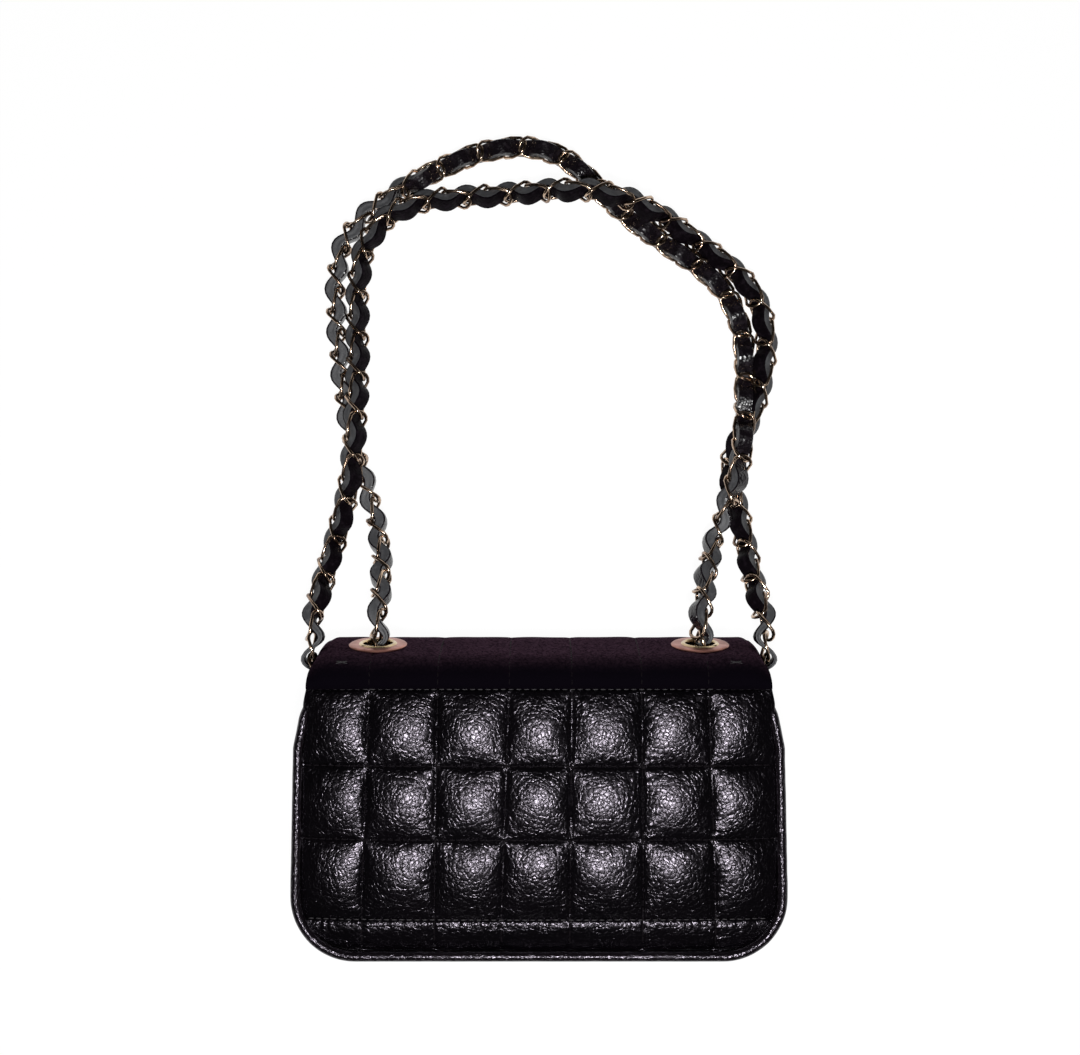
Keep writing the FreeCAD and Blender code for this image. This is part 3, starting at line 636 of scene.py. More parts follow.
def back_height(x, y):
    """Height of the quilted back's face, in millimetres."""
    half = panel_half(y)
    columns = column_seams(y)
    column = min(abs(x - c) for c in columns)
    crown = CROWN * (1 - (x / CROWN_HALF_X) ** 2)
    crown *= max(0.0, 1 - ((y - CROWN_Y) / CROWN_HALF_Y) ** 2)
    crown -= SIDE_DROP * (max(0.0, abs(x) - 66.0) / 29.0) ** 2
    crown -= BASE_DROP * ease(-y, 20.0, 62.0)
    if y > ROW_SEAMS[-1]:
        pillow = swell(x, [-half - 0.5] + columns + [half + 0.5]) * swell(y, ROW_SEAMS[::-1])
        lift = PILLOW_HEIGHT * pillow * (1 + PILLOW_UNEVEN * slack(x, y))
        seam = min([column] + [abs(y - r) for r in ROW_SEAMS])
        lift -= THREAD_SINK * math.exp(-seam / 0.7)
    else:
        below = ROW_SEAMS[-1] - y
        pillow = 1 - math.exp(-below / 1.4)
        lift = (BORDER_RISE - THREAD_SINK * math.exp(-column / 1.2)) * pillow
        lift -= BORDER_DROP * (below / (ROW_SEAMS[-1] - PANEL_BASE)) ** 2
    return BACK_SEAM_Z + crown + lift + BACK_PUCKER * pucker(x, y, columns, ROW_SEAMS)


def back_place(u, v):
    """Layout of the back's face."""
    y = PANEL_BASE + (v + 1) / 2 * (SEAM_Y - PANEL_BASE)
    x = u * panel_half(y)
    return x, y, back_height(x, y)


def close_below(piece, height):
    """Draw the piece's rim straight down to a height and close it with one face."""
    activate(piece)
    bpy.ops.object.mode_set(mode="EDIT")
    bpy.ops.mesh.select_mode(type="EDGE")
    bpy.ops.mesh.select_all(action="DESELECT")
    bpy.ops.mesh.select_non_manifold(extend=False, use_wire=False, use_multi_face=False)
    bpy.ops.mesh.extrude_edges_move()
    bpy.ops.object.mode_set(mode="OBJECT")
    for vertex in piece.data.vertices:
        if vertex.select:
            vertex.co.z = height
    bpy.ops.object.mode_set(mode="EDIT")
    bpy.ops.mesh.edge_face_add()
    turn_outward(piece)
    bpy.ops.object.shade_smooth_by_angle(angle=math.radians(60))


quilted_back = sheet_grid("quilted_back", 340, 190, back_place)
close_below(quilted_back, BACK_FLOOR_Z * MM)
dress(quilted_back, back_leather)
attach(quilted_back, "bag")
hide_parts("back_cover", "back_padding")

# Folded top and flap: one piece of the same leather. It starts at the back's top seam, bends over
# the bag's top, folds under at the front edge and runs down the front as the quilted flap.
FOLD_HALF = 89.3
HEM_HALF = 91.0
HEM_RADIUS = 22.0
HEM_Y = -46.0
FLAP_ROWS = [64.0, 44.5, 14.1, -16.3, -46.5]
SKIN = 1.9
TOP_GROOVE = 0.55
TOP_UNEVEN = 0.22
TOP_PUCKER = 0.16
END_TURN = 1.6
END_DROOP = 1.5
FOLD_Z = 0.7
FLAP_SEAM_Z = 2.6
FLAP_LOW_Z = 0.15
FLAP_PUCKER = 0.2
HEM_TURN = 2.2
# Outer face of the top as seen from the side, from the back seam to the fold under the front edge
TOP_PROFILE = [
    (44.45, 57.6), (45.4, 59.0), (47.2, 59.6), (49.2, 59.5), (51.4, 58.6), (53.5, 56.9),
    (55.3, 54.3), (56.5, 50.8), (57.5, 45.8), (58.5, 40.2), (59.5, 34.6), (60.4, 29.4),
    (61.1, 24.3), (61.7, 19.2), (62.0, 14.1), (62.1, 9.6), (61.9, 6.0), (61.0, 3.1),
    (59.4, 1.4), (57.2, 0.7), (54.5, 0.7),
]
# Half the top's width at shares of the way from the back seam to the fold
TOP_SHARES = [0.0, 0.12, 0.27, 0.5, 0.78, 1.0]
TOP_HALVES = [93.0, 92.4, 91.4, 90.4, 89.8, FOLD_HALF]


def spaced_profile(points, step):
    """A profile's points again, evenly spaced along the smooth line that they give."""
    line = smooth_line([(0, y, z) for y, z in points], 12)[:, 1:]
    along = distances(line)
    return place_at(line, along, np.linspace(0, along[-1], int(along[-1] / step) + 1))


SHEET_STEP = 1.0
PROFILE = spaced_profile(TOP_PROFILE, SHEET_STEP)
FOLD_Y = PROFILE[-1][0]
TOP_POINTS = len(PROFILE)
FLAP_POINTS = int((FOLD_Y - HEM_Y) / SHEET_STEP)


def flap_half(y):
    """Half the flap's width at a height, with its two lower corners rounded."""
    half = FOLD_HALF + (HEM_HALF - FOLD_HALF) * (FOLD_Y - y) / (FOLD_Y - HEM_Y)
    rise = y - HEM_Y
    if rise < HEM_RADIUS:
        drop = HEM_RADIUS - max(rise, 0.0)
        half -= HEM_RADIUS - math.sqrt(max(HEM_RADIUS ** 2 - drop ** 2, 0.0))
    return half


def top_half(share):
    """Half the top's width, drawn in from the back seam to the fold."""
    return float(np.interp(share, TOP_SHARES, TOP_HALVES))


def top_spot(step):
    """Place on the top's outer face at a step along its profile, and the way that it faces."""
    steps = np.arange(TOP_POINTS)
    here, before, after = (place_at(PROFILE, steps, step + k) for k in (0, -1, 1))
    slope = after - before
    return here, np.array([-slope[1], slope[0]]) / np.linalg.norm(slope)


def folded_place(u, step):
    """Layout of the top: grooved along the column seams, uneven, drooping at its two ends."""
    (y, z), normal = top_spot(step)
    share = step / (TOP_POINTS - 1)
    half = top_half(share)
    x = u * half
    end = half - abs(x)
    columns = column_seams(SEAM_Y)
    groove = min(abs(x - c) for c in columns)
    lift = -TOP_GROOVE * math.exp(-groove / 1.6) * (1 - ease(share, 0.75, 1.0))
    lift += TOP_UNEVEN * noise.noise(Vector((x / 14.0, 9.0 + step / 12.0, 7.0)))
    lift += TOP_PUCKER * pucker(x, y + step, columns, [])
    lift -= END_TURN * (1 - ease(end, 0.0, 5.0)) ** 2 * ease(share, 0.02, 0.20)
    droop = ease(share, 0.01, 0.10) * (1 - ease(share, 0.3, 0.5))
    lift -= END_DROOP * (1 - ease(end, 0.0, 10.0)) ** 2 * droop
    return x, y + normal[0] * lift, z + normal[1] * lift


def flap_place(u, step):
    """Layout of the flap, whose squares swell downward to the table."""
    y = FOLD_Y - (step - TOP_POINTS + 1) * (FOLD_Y - HEM_Y) / FLAP_POINTS
    half = flap_half(y)
    x = u * half
    columns = column_seams(max(y, ROW_SEAMS[-1]))
    edges = [-half - 1.0] + columns + [half + 1.0]
    pillow = swell(x, edges) * swell(y, FLAP_ROWS[::-1])
    begun = ease(FOLD_Y - y, 0.0, 6.0)
    sunk = FOLD_Z + (FLAP_SEAM_Z - FOLD_Z) * begun
    z = sunk - (sunk - FLAP_LOW_Z) * pillow * begun
    z += FLAP_PUCKER * pucker(x, y, columns, FLAP_ROWS) * begun
    rim = min(half - abs(x), y - HEM_Y)
    z += HEM_TURN * (1 - ease(rim, 0.0, 3.5)) ** 2 * begun
    return x, y, max(z, 0.0)


def top_place(u, v):
    """Layout of the whole sheet, the top first and then the flap."""
    step = int(round((v + 1) / 2 * (TOP_POINTS + FLAP_POINTS - 1)))
    return folded_place(u, step) if step < TOP_POINTS else flap_place(u, step)


flap_leather = sheet_grid("flap_leather", 180, TOP_POINTS + FLAP_POINTS - 1, top_place)
turn_outward(flap_leather)
flap_faces = [p for p in flap_leather.data.polygons if p.center.z < 0.003]
if sum(p.normal.z * p.area for p in flap_faces) > 0:
    flap_leather.data.flip_normals()


def thicken(piece, thickness):
    """Give a sheet its thickness on its inner side."""
    activate(piece)
    wall = piece.modifiers.new("thickness", "SOLIDIFY")
    wall.thickness = thickness
    wall.offset = -1.0
    wall.use_even_offset = False
    bpy.ops.object.modifier_apply(modifier=wall.name)
    bpy.ops.object.shade_smooth_by_angle(angle=math.radians(50))


TOP_NORMAL = Vector((0, math.cos(math.radians(10)), math.sin(math.radians(10))))
EYELET_HOLE = 6.9 * MM
PUNCH_DEPTH = 16.0 * MM


def eyelet_place(centre):
    """Place of what is round an eyelet's axis, square to the top's face."""
    across = Vector((1, 0, 0))
    return set_in(Vector(centre), across, TOP_NORMAL.cross(across), TOP_NORMAL)


def punch_eyelets(piece):
    """Cut the two eyelet holes through a sheet, square to the top's face."""
    for centre in (LEFT_EYELET, RIGHT_EYELET):
        deselect()
        bpy.ops.mesh.primitive_cylinder_add(vertices=48, radius=EYELET_HOLE, depth=PUNCH_DEPTH)
        punch = bpy.context.object
        punch.data.transform(eyelet_place(centre))
        activate(piece)
        hole = piece.modifiers.new("hole", "BOOLEAN")
        hole.operation = "DIFFERENCE"
        hole.object = punch
        hole.solver = "EXACT"
        bpy.ops.object.modifier_apply(modifier=hole.name)
        bpy.data.objects.remove(punch)


thicken(flap_leather, SKIN * MM)
punch_eyelets(flap_leather)


def painted_sheen_colour(start, place, edges, wrinkles):
    """The top's colour: purple on its front face, a painted reflection standing for its dim sheen
    at grazing, and black where it bends over to the back; painted shade darkens the grain's
    creases.
    """
    height = start.node("ShaderNodeSeparateXYZ", None, {0: place}, 2)
    # Painted shade: darker in the grain's creases and wrinkles, lighter on the pebbles between them
    lighter_tone = edges.between(0.0, 0.20) * 0.6 + wrinkles.between(0.0, 0.20) * 0.4
    painted_sheen_purple = lighter_tone.mix((0.036, 0.019, 0.032, 1), (0.128, 0.070, 0.107, 1))
    # Painted reflection by height: the purple low on the front face stands for its grazing sheen,
    # and the bend over to the back is black
    return height.between(0.042, 0.0590).mix(painted_sheen_purple, (0.0030, 0.0021, 0.0040, 1))


top_leather = pebbled_leather("top_leather", painted_sheen_colour, 0.40, gloss=0.0)
dress(flap_leather, top_leather, back_leather)
for polygon in flap_leather.data.polygons:
    quilted = polygon.center.y < FOLD_Y * MM and polygon.center.z < 0.03
    polygon.material_index = 1 if quilted else 0
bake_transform(flap_leather)
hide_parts("bridge", "flap_cover", "flap_padding")


# Seams: waxed black thread, one lock stitch after another, sunk into the leather along the quilting
# lines of the back, the top and the flap. On the top seam, the lowest seam and the tacks it is
# painted
# lighter grey: a painted highlight where the lamp catches the waxed thread.
def bands(start, place, direction, scale):
    """Even bands across a direction."""
    inputs = {"Vector": place, "Scale": scale}
    return start.node("ShaderNodeTexWave", {"bands_direction": direction}, inputs)


def thread_finish(name, dark, light, gloss):
    """Two plies of thread, twisted together."""
    finish, start = new_finish(name)
    plies = bands(start, object_place(start), "DIAGONAL", 900.0)
    feed(
        finish,
        Base_Color=plies.mix((*dark, 1), (*light, 1)),
        Roughness=0.5 + 0.1 * plies,
        Specular_IOR_Level=gloss,
        Normal=bump(start, plies, 0.00005),
    )
    return finish


thread_black = thread_finish("thread_black", (0.003, 0.002, 0.003), (0.010, 0.008, 0.010), 0.05)
# A lighter copy of the black thread: a painted highlight where the lamp glints on the wax
thread_painted_highlight = thread_finish("thread_painted_highlight", (0.016, 0.014, 0.016), (0.034, 0.030, 0.034), 0.5)
STITCH_PITCH = 3.1
STITCH_HALF = 1.15
THREAD = 0.30
THREAD_FLAT = 0.8
BACK_RAISED = 0.10
RIM_RAISED = 0.15
TOP_THREAD_SUNK = 0.52
TOP_SEAM_SHARE = 0.78
FLAP_THREAD_Z = 2.45

deselect()
bpy.ops.mesh.primitive_uv_sphere_add(segments=6, ring_count=5, radius=1)
one_stitch = bpy.context.object
for vertex in one_stitch.data.vertices:
    x, y, z = vertex.co
    vertex.co = Vector((z * STITCH_HALF, x * THREAD, y * THREAD * THREAD_FLAT)) * MM


def stitch_places(run, length, width):
    """Places of stitches along a run of points in millimetres, with the face's normal at each."""
    spots = np.array([spot for spot, normal in run])
    along = distances(spots)
    places = []
    for at in np.arange(STITCH_PITCH / 2, along[-1], STITCH_PITCH):
        here, past, near = (Vector(place_at(spots, along, at + k)) for k in (0, -1, 1))
        forward = (near - past).normalized()
        normal = Vector(run[int(np.searchsorted(along, at)) - 1][1])
        across = normal.cross(forward).normalized()
        up = forward.cross(across)
        places.append(set_in(here * MM, length * forward, width * across, up))
    return places


def sew(name, runs, thread, body, length=1.0, width=1.0):
    """One piece of the stitches along several runs."""
    places = [place for run in runs for place in stitch_places(run, length, width)]
    stitches = repeated(name, one_stitch, places)
    dress(stitches, thread)
    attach(stitches, body)


def column_run(number, heights, place):
    """A run down one column seam."""
    seams = [column_seams(max(y, ROW_SEAMS[-1]))[number] for y in heights]
    return [place(x, y) for x, y in zip(seams, heights)]


def on_back(x, y, raised=BACK_RAISED):
    """A point of a run on the back."""
    return (x, y, back_height(x, y) + raised), (0, 0, 1)


def on_flap(x, y):
    """A point of a run on the flap, whose face looks down."""
    return (x, y, FLAP_THREAD_Z), (0, 0, -1)


columns = range(len(COLUMN_SEAMS))
back_heights = np.arange(SEAM_Y - 1.0, PANEL_BASE + 3.0, -1.0)
flap_heights = np.arange(48.0, HEM_Y + 4.0, -1.0)
back_rows = []
for y in ROW_SEAMS:
    half = panel_half(y) - 1.0
    raised = RIM_RAISED if y == SEAM_Y else BACK_RAISED
    back_rows.append([on_back(x, y, raised) for x in np.arange(-half, half, 1.0)])
back_runs = [column_run(number, back_heights, on_back) for number in columns] + back_rows[1:3]
sew("back_stitches", back_runs, thread_black, "bag", 1.25, 1.7)
# The top seam and the lowest seam are sewn in the thread with the painted highlight
sew("rim_stitches", [back_rows[0], back_rows[3]], thread_painted_highlight, "bag")
top_spots = [top_spot(step) for step in range(2, int(TOP_POINTS * TOP_SEAM_SHARE))]
top_runs = [
    [((x, *(spot - TOP_THREAD_SUNK * out)), (0, *out)) for spot, out in top_spots]
    for x in column_seams(SEAM_Y)]
sew("top_stitches", top_runs, thread_black, "bag")

# A crossed tack near each end of the top holds the flap's lining
TACK_X = 79.0
TACK_Y = 54.7
TACK_SLANT = 0.35
TACK_STRETCH = 2.3
TACK_RAISED = 0.1
tack_step = int(np.argmin(np.abs(PROFILE[:TOP_POINTS // 2, 0] - TACK_Y)))
tack_spot, tack_out = top_spot(tack_step)
tack_normal = Vector((0, *tack_out))
tack_places = []
for x in (-TACK_X, TACK_X):
    for slant in (-TACK_SLANT, TACK_SLANT):
        forward = Matrix.Rotation(slant, 3, tack_normal) @ Vector((1, 0, 0))
        spot = Vector((x, *(tack_spot + TACK_RAISED * tack_out))) * MM
        across = tack_normal.cross(forward)
        tack_places.append(set_in(spot, TACK_STRETCH * forward, across, tack_normal))
tack_stitches = repeated("tack_stitches", one_stitch, tack_places)
# The tacks are sewn in the thread with the painted highlight
dress(tack_stitches, thread_painted_highlight)
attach(tack_stitches, "bag")

flap_runs = [column_run(number, flap_heights, on_flap) for number in columns]
for y in FLAP_ROWS[1:-1]:
    half = flap_half(y) - 3.0
    flap_runs.append([on_flap(x, y) for x in np.arange(-half, half, 1.0)])
sew("flap_stitches", flap_runs, thread_black, "flap")


# Piping: a cord wrapped in a strip of the same leather, sewn in between each face and the gusset.
# It goes down one side, along the base and up the other side, and is tucked in at both ends.
WELT_UNEVEN = 0.12
WELT_TUCK = 1.4


def outline_run(inset, top_y, step=1.5):
    """Points along the bag's outline, from the right side round the base to the left side."""
    base = BASE_Y + inset
    radius = BASE_RADIUS - inset
    right = [(half_width(y, inset), y) for y in np.arange(top_y, base + radius, -step)]
    corner = half_width(base + radius, inset) - radius
    for turn in np.linspace(0, math.pi / 2, int(radius * math.pi / 2 / step)):
        right.append((corner + radius * math.cos(turn), base + radius - radius * math.sin(turn)))
    middle = [(x, base) for x in np.arange(corner - step, -corner, -step)]
    return right + middle + [(-x, y) for x, y in reversed(right)]


def piping_tube(name, radius, z, top_y, tuck):
    """A round welt along the outline, its two ends tucked inward and down."""
    run = outline_run(radius, top_y)
    curve = bpy.data.curves.new(name, "CURVE")
    curve.dimensions = "3D"
    curve.bevel_depth = radius * MM
    curve.bevel_resolution = 5
    curve.use_fill_caps = True
    spline = curve.splines.new("POLY")
    spline.points.add(len(run) - 1)
    for number, (point, (x, y)) in enumerate(zip(spline.points, run)):
        end = 1 - ease(min(number, len(run) - 1 - number), 0.0, 6.0)
        wave = WELT_UNEVEN * noise.noise(Vector((x / 6.0, y / 6.0, z)))
        inward = math.copysign(WELT_TUCK * end, x)
        point.co = ((x - inward + wave) * MM, y * MM, (z - tuck * end + wave) * MM, 1)
    piece = bpy.data.objects.new(name, curve)
    bpy.context.scene.collection.objects.link(piece)
    activate(piece)
    bpy.ops.object.convert(target="MESH")
    piece = bpy.context.object
    bpy.ops.object.shade_smooth()
    return piece


piping_leather = pebbled_leather(
    "piping_leather", clouded((0.002, 0.0014, 0.002), (0.005, 0.0035, 0.005)), 0.20)
for name, radius, z, top_y, tuck in (
    ("back_piping", 2.0, 55.2, 41.5, 3.0), ("front_piping", 1.8, 8.9, 31.0, -1.0),
):
    tube = piping_tube(name + "_welt", radius, z, top_y, tuck)
    dress(tube, piping_leather)
    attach(tube, "bag")
    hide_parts(name)

welt_runs = []
for inset, height in ((3.9, 54.7), (0.6, 52.4)):
    run = outline_run(inset, 28.0)
    outward = [(0, 0, 1) if inset > 1 else (math.copysign(1, x), 0, 0.2) for x, y in run]
    welt_runs.append([((x, y, height), face) for (x, y), face in zip(run, outward)])
sew("welt_stitches", welt_runs, thread_black, "bag")
bpy.data.objects.remove(one_stitch)

# Gusset and front wall: plain leather of the same skin. The gusset is one strip down the sides and
# along the base, and it bows out a little because it is soft; the front wall lies under the flap.
GUSSET_LOW = 10.8
GUSSET_HIGH = 52.9
FRONT_TOP_Y = 31.0
FRONT_Z = 7.45
WALL = 1.1


def strip_place(inset, top_y, low, high, bow, uneven):
    """Layout of a strip round the bag, bowed outwards between its two edges."""
    run = np.array(outline_run(inset, top_y, 2.0))
    slope = np.gradient(run, axis=0)
    outward = np.stack([-slope[:, 1], slope[:, 0]], axis=1)
    outward /= np.linalg.norm(outward, axis=1)[:, None]
    at = np.linspace(-1, 1, len(run))

    def layout(u, v):
        x, y = place_at(run, at, u)
        ox, oy = place_at(outward, at, u)
        z = low + (v + 1) / 2 * (high - low)
        out = bow * (1 - v * v) + uneven * noise.noise(Vector((u * 9.0, v * 1.3, inset)))
        return x + ox * out, y + oy * out, z

    return layout


def panel_place(inset, low_y, top_y, z, uneven):
    """Layout of a flat panel cut to the bag's outline."""
    def layout(u, v):
        y = low_y + (v + 1) / 2 * (top_y - low_y)
        x = u * half_width(y, inset)
        return x, y, z + uneven * noise.noise(Vector((x / 21.0, y / 21.0, z)))

    return layout


def face_along(piece, way):
    """Turn the faces of a sheet to look along the way that holds at each place."""
    if sum(way(p.center).dot(p.normal) * p.area for p in piece.data.polygons) < 0:
        piece.data.flip_normals()


# Ways that a sheet may face, at a place on it
def outward_way(spot):
    return Vector((spot.x, spot.y, 0))


def upward_way(spot):
    return Vector((0, 0, 1))


def downward_way(spot):
    return Vector((0, 0, -1))


side_leather = pebbled_leather(
    "side_leather", clouded((0.003, 0.002, 0.003), (0.007, 0.005, 0.007)), 0.34)
for name, node, grid, layout, way in (
    ("gusset_leather", "gusset", (300, 24),
     strip_place(1.2, FRONT_TOP_Y, GUSSET_LOW, GUSSET_HIGH, 0.5, 0.5), outward_way),
    ("front_leather", "front_panel", (96, 60),
     panel_place(3.9, PANEL_BASE, FRONT_TOP_Y, FRONT_Z, 0.12), downward_way),
):
    wall = sheet_grid(name, *grid, layout)
    face_along(wall, way)
    thicken(wall, WALL * MM)
    dress(wall, side_leather)
    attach(wall, "bag")
    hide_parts(node)

# Lining: dark woven cloth inside the bag, under the top and on the flap's inside, with a slip
# pocket on the back wall. Each panel is cut to its wall and lies against it with a little slack.
THREADS = 420.0
lining_cloth, start = new_finish("lining_cloth")
place = object_place(start)
slub = speckle(start, place, 300.0, 4.0)
weave = bands(start, place, "X", THREADS) * 0.5 + bands(start, place, "Y", THREADS) * 0.5
feed(
    lining_cloth,
    Base_Color=(weave * 0.7 + slub * 0.3).mix((0.02, 0.017, 0.019, 1), (0.06, 0.052, 0.056, 1)),
    Roughness=0.7 + 0.15 * slub,
    Normal=bump(start, weave, 0.0001),
)
LINING = 0.6
LINING_SLACK = 0.15
FLAP_LINING_LOW = -43.5
FLAP_LINING_HIGH = 50.0
FLAP_LINING_Z = 6.2
TOP_LINING_FIRST = 7
TOP_LINING_SHARE = 0.80
TOP_LINING_DEPTH = 2.9
TOP_LINING_INSET = 4.5
POCKET_HALF = 50.0
POCKET_BASE = -52.6
POCKET_HEIGHT = 56.0
POCKET_Z = 49.8
POCKET_SAG = 0.5
SNIP = 7.5 * MM


def flap_lining_place(u, v):
    """Layout of the cloth on the flap's inside."""
    y = FLAP_LINING_LOW + (v + 1) / 2 * (FLAP_LINING_HIGH - FLAP_LINING_LOW)
    x = u * (flap_half(y - 2.0) - 2.6)
    slackness = noise.noise(Vector((x / 19.0, y / 19.0, 2.0)))
    return x, y, FLAP_LINING_Z + LINING_SLACK * slackness


def top_lining_place(u, v):
    """Layout of the cloth under the top."""
    step = TOP_LINING_FIRST + (v + 1) / 2 * (TOP_POINTS * TOP_LINING_SHARE - TOP_LINING_FIRST)
    spot, outward = top_spot(step)
    depth = TOP_LINING_DEPTH + 0.12 * noise.noise(Vector((u * 6.0, v * 3.0, 5.0)))
    y, z = spot - outward * depth
    return u * (top_half(step / (TOP_POINTS - 1)) - TOP_LINING_INSET), y, z


def pocket_place(u, v):
    """Layout of the pocket, which sags open at its mouth."""
    sag = POCKET_SAG * ease(v, 0.2, 1.0) * (1 - u * u)
    return u * POCKET_HALF, POCKET_BASE + (v + 1) / 2 * POCKET_HEIGHT, POCKET_Z - sag


def snip_round_eyelets(cloth):
    """Take out the cloth's squares at the eyelets, under their washers."""
    activate(cloth)
    bpy.ops.object.mode_set(mode="EDIT")
    bpy.ops.mesh.select_mode(type="FACE")
    bpy.ops.mesh.select_all(action="DESELECT")
    bpy.ops.object.mode_set(mode="OBJECT")
    for polygon in cloth.data.polygons:
        for centre in (LEFT_EYELET, RIGHT_EYELET):
            away = polygon.center - Vector(centre)
            radial = (away - TOP_NORMAL * away.dot(TOP_NORMAL)).length
            if radial < SNIP and abs(away.dot(TOP_NORMAL)) < SNIP:
                polygon.select = True
    bpy.ops.object.mode_set(mode="EDIT")
    bpy.ops.mesh.delete(type="FACE")
    bpy.ops.object.mode_set(mode="OBJECT")


def inward_way(spot):
    return -outward_way(spot)


def inside_way(spot):
    return Vector((0, 0.03 - spot.y, 0.02 - spot.z))


# Each lining's name, node and body, its grid, its layout, the way that it faces and its flat size
LININGS = [
    ("back_lining_cloth", "back_lining", "bag", (90, 56),
     panel_place(4.4, -60.2, 44.2, 50.9, LINING_SLACK), downward_way, (0.191, 0.105)),
    ("front_lining_cloth", "front_lining", "bag", (90, 56),
     panel_place(4.0, PANEL_BASE, FRONT_TOP_Y, 10.4, LINING_SLACK), upward_way, (0.191, 0.092)),
    ("gusset_lining_cloth", "gusset_lining", "bag", (260, 20),
     strip_place(4.4, FRONT_TOP_Y, 11.0, 50.3, 0.0, 0.35), inward_way, (0.37, 0.0393)),
    ("top_lining_cloth", "bridge_lining", "bag", (90, 60),
     top_lining_place, inside_way, (0.176, 0.052)),
    ("flap_lining_cloth", "flap_lining", "flap", (90, 56),
     flap_lining_place, upward_way, (0.175, 0.0935)),
    ("pocket_cloth", "inner_pocket", "bag", (60, 36),
     pocket_place, downward_way, (0.100, 0.056)),
]
for name, node, body, grid, layout, way, flat in LININGS:
    cloth = sheet_grid(name, *grid, layout)
    face_along(cloth, way)
    if node == "bridge_lining":
        snip_round_eyelets(cloth)
    thicken(cloth, LINING * MM)
    dress(cloth, lining_cloth)
    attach(cloth, body)
    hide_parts(node)

# Stiffeners: grey-brown pressed card inside the back, the front and the base. They are cut flat and
# glued between the leather and the lining, which hide them.
card, start = new_finish("stiffener_card")
fibre = speckle(start, object_place(start), 700.0, 6.0)
feed(
    card,
    Base_Color=fibre.mix((0.30, 0.24, 0.17, 1), (0.46, 0.39, 0.30, 1)),
    Roughness=0.8 + 0.1 * fibre,
    Normal=bump(start, fibre, 0.00008),
)
for node in ("back_board", "front_board", "base_board"):
    dress(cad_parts[node], card)

# Eyelets: a wide flange of rose gold plate round each hole in the top, with a rolled rim of bright
# gold, clenched from inside over a plain washer.
rose_gold = plated_metal("rose_gold", (0.47, 0.22, 0.175), (0.33, 0.15, 0.12), 0.34)
rim_gold = plated_metal("rim_gold", (0.64, 0.50, 0.30), (0.42, 0.30, 0.175), 0.14)
# Section of the eyelet, as radius and height over the leather, in millimetres
EYELET_SECTION = [
    (6.05, -4.2), (6.95, -4.2), (6.95, 0.05), (11.5, 0.05), (11.95, 0.30), (12.0, 0.60),
    (11.7, 0.88), (10.8, 1.02), (9.0, 1.08), (7.9, 1.05), (7.6, 1.30), (7.2, 1.55),
    (6.7, 1.60), (6.3, 1.40), (6.08, 1.00), (6.02, 0.0),
]
RIM_RADIUS = 7.75


def spun_ring(name, section, steps):
    """A ring turned from a closed section."""
    deselect()
    bpy.ops.mesh.primitive_circle_add(vertices=len(section), radius=1)
    piece = bpy.context.object
    piece.name = name
    for vertex, (radius, height) in zip(piece.data.vertices, section):
        vertex.co = Vector((radius, 0, height)) * MM
    bpy.ops.object.mode_set(mode="EDIT")
    bpy.ops.mesh.select_all(action="SELECT")
    bpy.ops.mesh.spin(steps=steps, angle=2 * math.pi, center=(0, 0, 0), axis=(0, 0, 1))
    bpy.ops.mesh.select_all(action="SELECT")
    bpy.ops.mesh.remove_doubles(threshold=1e-6)
    turn_outward(piece)
    bpy.ops.object.shade_smooth_by_angle(angle=math.radians(40))
    return piece


for label, centre in (("left", LEFT_EYELET), ("right", RIGHT_EYELET)):
    ring = spun_ring("eyelet_ring_" + label, EYELET_SECTION, 72)
    dress(ring, rose_gold, rim_gold)
    for polygon in ring.data.polygons:
        reach = math.hypot(polygon.center.x, polygon.center.y)
        polygon.material_index = 1 if reach < RIM_RADIUS * MM else 0
    ring.data.transform(eyelet_place(centre))
    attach(ring, "bag")
    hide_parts("eyelet_" + label)
    dress(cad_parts["eyelet_washer_" + label], rim_gold)

# Magnetic snap: a plated stud riveted to the flap's lining, and the socket that takes it in the
# front wall.
for node in ("snap_stud", "snap_socket"):
    dress(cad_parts[node], rim_gold)

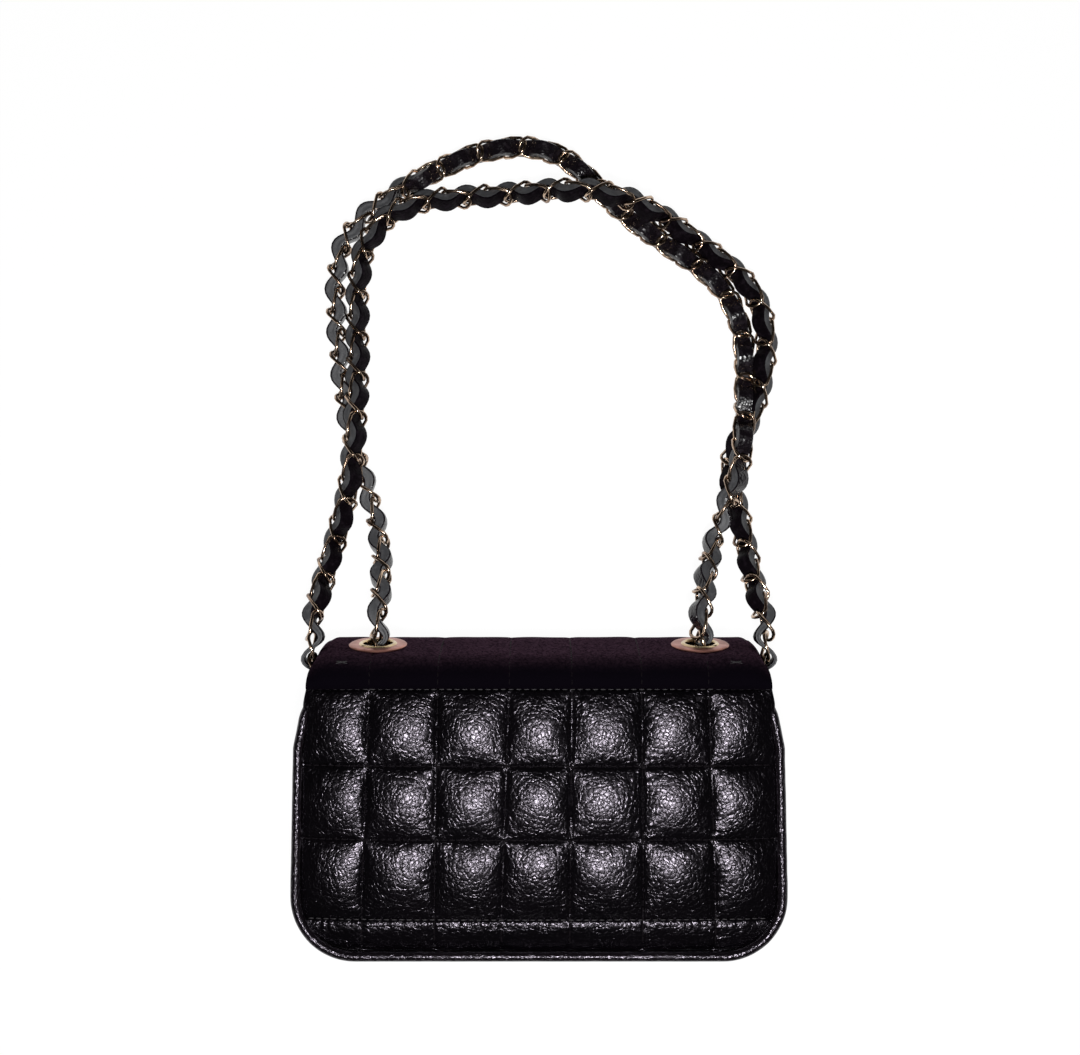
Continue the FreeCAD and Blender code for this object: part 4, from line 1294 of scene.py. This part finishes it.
# Table and light: a pale table, a soft lamp over the bag, and a dim studio round them that is
# paler towards its walls than overhead.
TABLE_SIZE = 8.0
TABLE_Z = -0.0002
TABLE_GLOW = 1.03
GLOW_SHARE = 0.94
LAMP_PLACE = (0.012, -0.050, 0.78)
LAMP_SIZE = 0.11
LAMP_WATTS = 5.4
WALL_TONE = (0.07, 0.07, 0.07, 1)
CEILING_TONE = (0.006, 0.006, 0.006, 1)

deselect()
bpy.ops.mesh.primitive_plane_add(size=TABLE_SIZE, location=(0, 0, TABLE_Z))
table = bpy.context.object
table.name = "table_top"
table_finish, start = new_finish("table_white")
# The table is white to the camera, to reflections and through gaps, and keeps the bag's shadow
seen, glossy, through = (
    start.node("ShaderNodeLightPath", None, None, output) for output in (0, 3, 6))
shown = start.sum("MINIMUM", seen + glossy + through, 1.0)
feed(table_finish, Base_Color=(0.92, 0.92, 0.92, 1), Roughness=0.8)
glow = start.node("ShaderNodeEmission", None, {"Color": (1, 1, 1, 1), "Strength": TABLE_GLOW})
mixed = start.node(
    "ShaderNodeMixShader", None,
    {0: shown * GLOW_SHARE, 1: Paint(start.tree, principled(table_finish).outputs[0]), 2: glow})
start.tree.links.new(mixed.socket, start.tree.nodes["Material Output"].inputs["Surface"])
dress(table, table_finish)

lamp_data = bpy.data.lights.new("overhead_lamp", "AREA")
lamp_data.shape = "DISK"
lamp_data.size = LAMP_SIZE
lamp_data.energy = LAMP_WATTS
lamp = bpy.data.objects.new("overhead_lamp", lamp_data)
lamp.location = LAMP_PLACE
bpy.context.scene.collection.objects.link(lamp)

studio = bpy.data.worlds.new("studio")
bpy.context.scene.world = studio
studio.use_nodes = True
sky = Paint(studio.node_tree)
upward = sky.node("ShaderNodeTexCoord", None, None, 0)
height = sky.node("ShaderNodeSeparateXYZ", None, {0: upward}, 2)
tone = height.between(0.0, 0.7).mix(WALL_TONE, CEILING_TONE)
studio.node_tree.links.new(tone.socket, studio.node_tree.nodes["Background"].inputs["Color"])

bpy.context.view_layer.update()
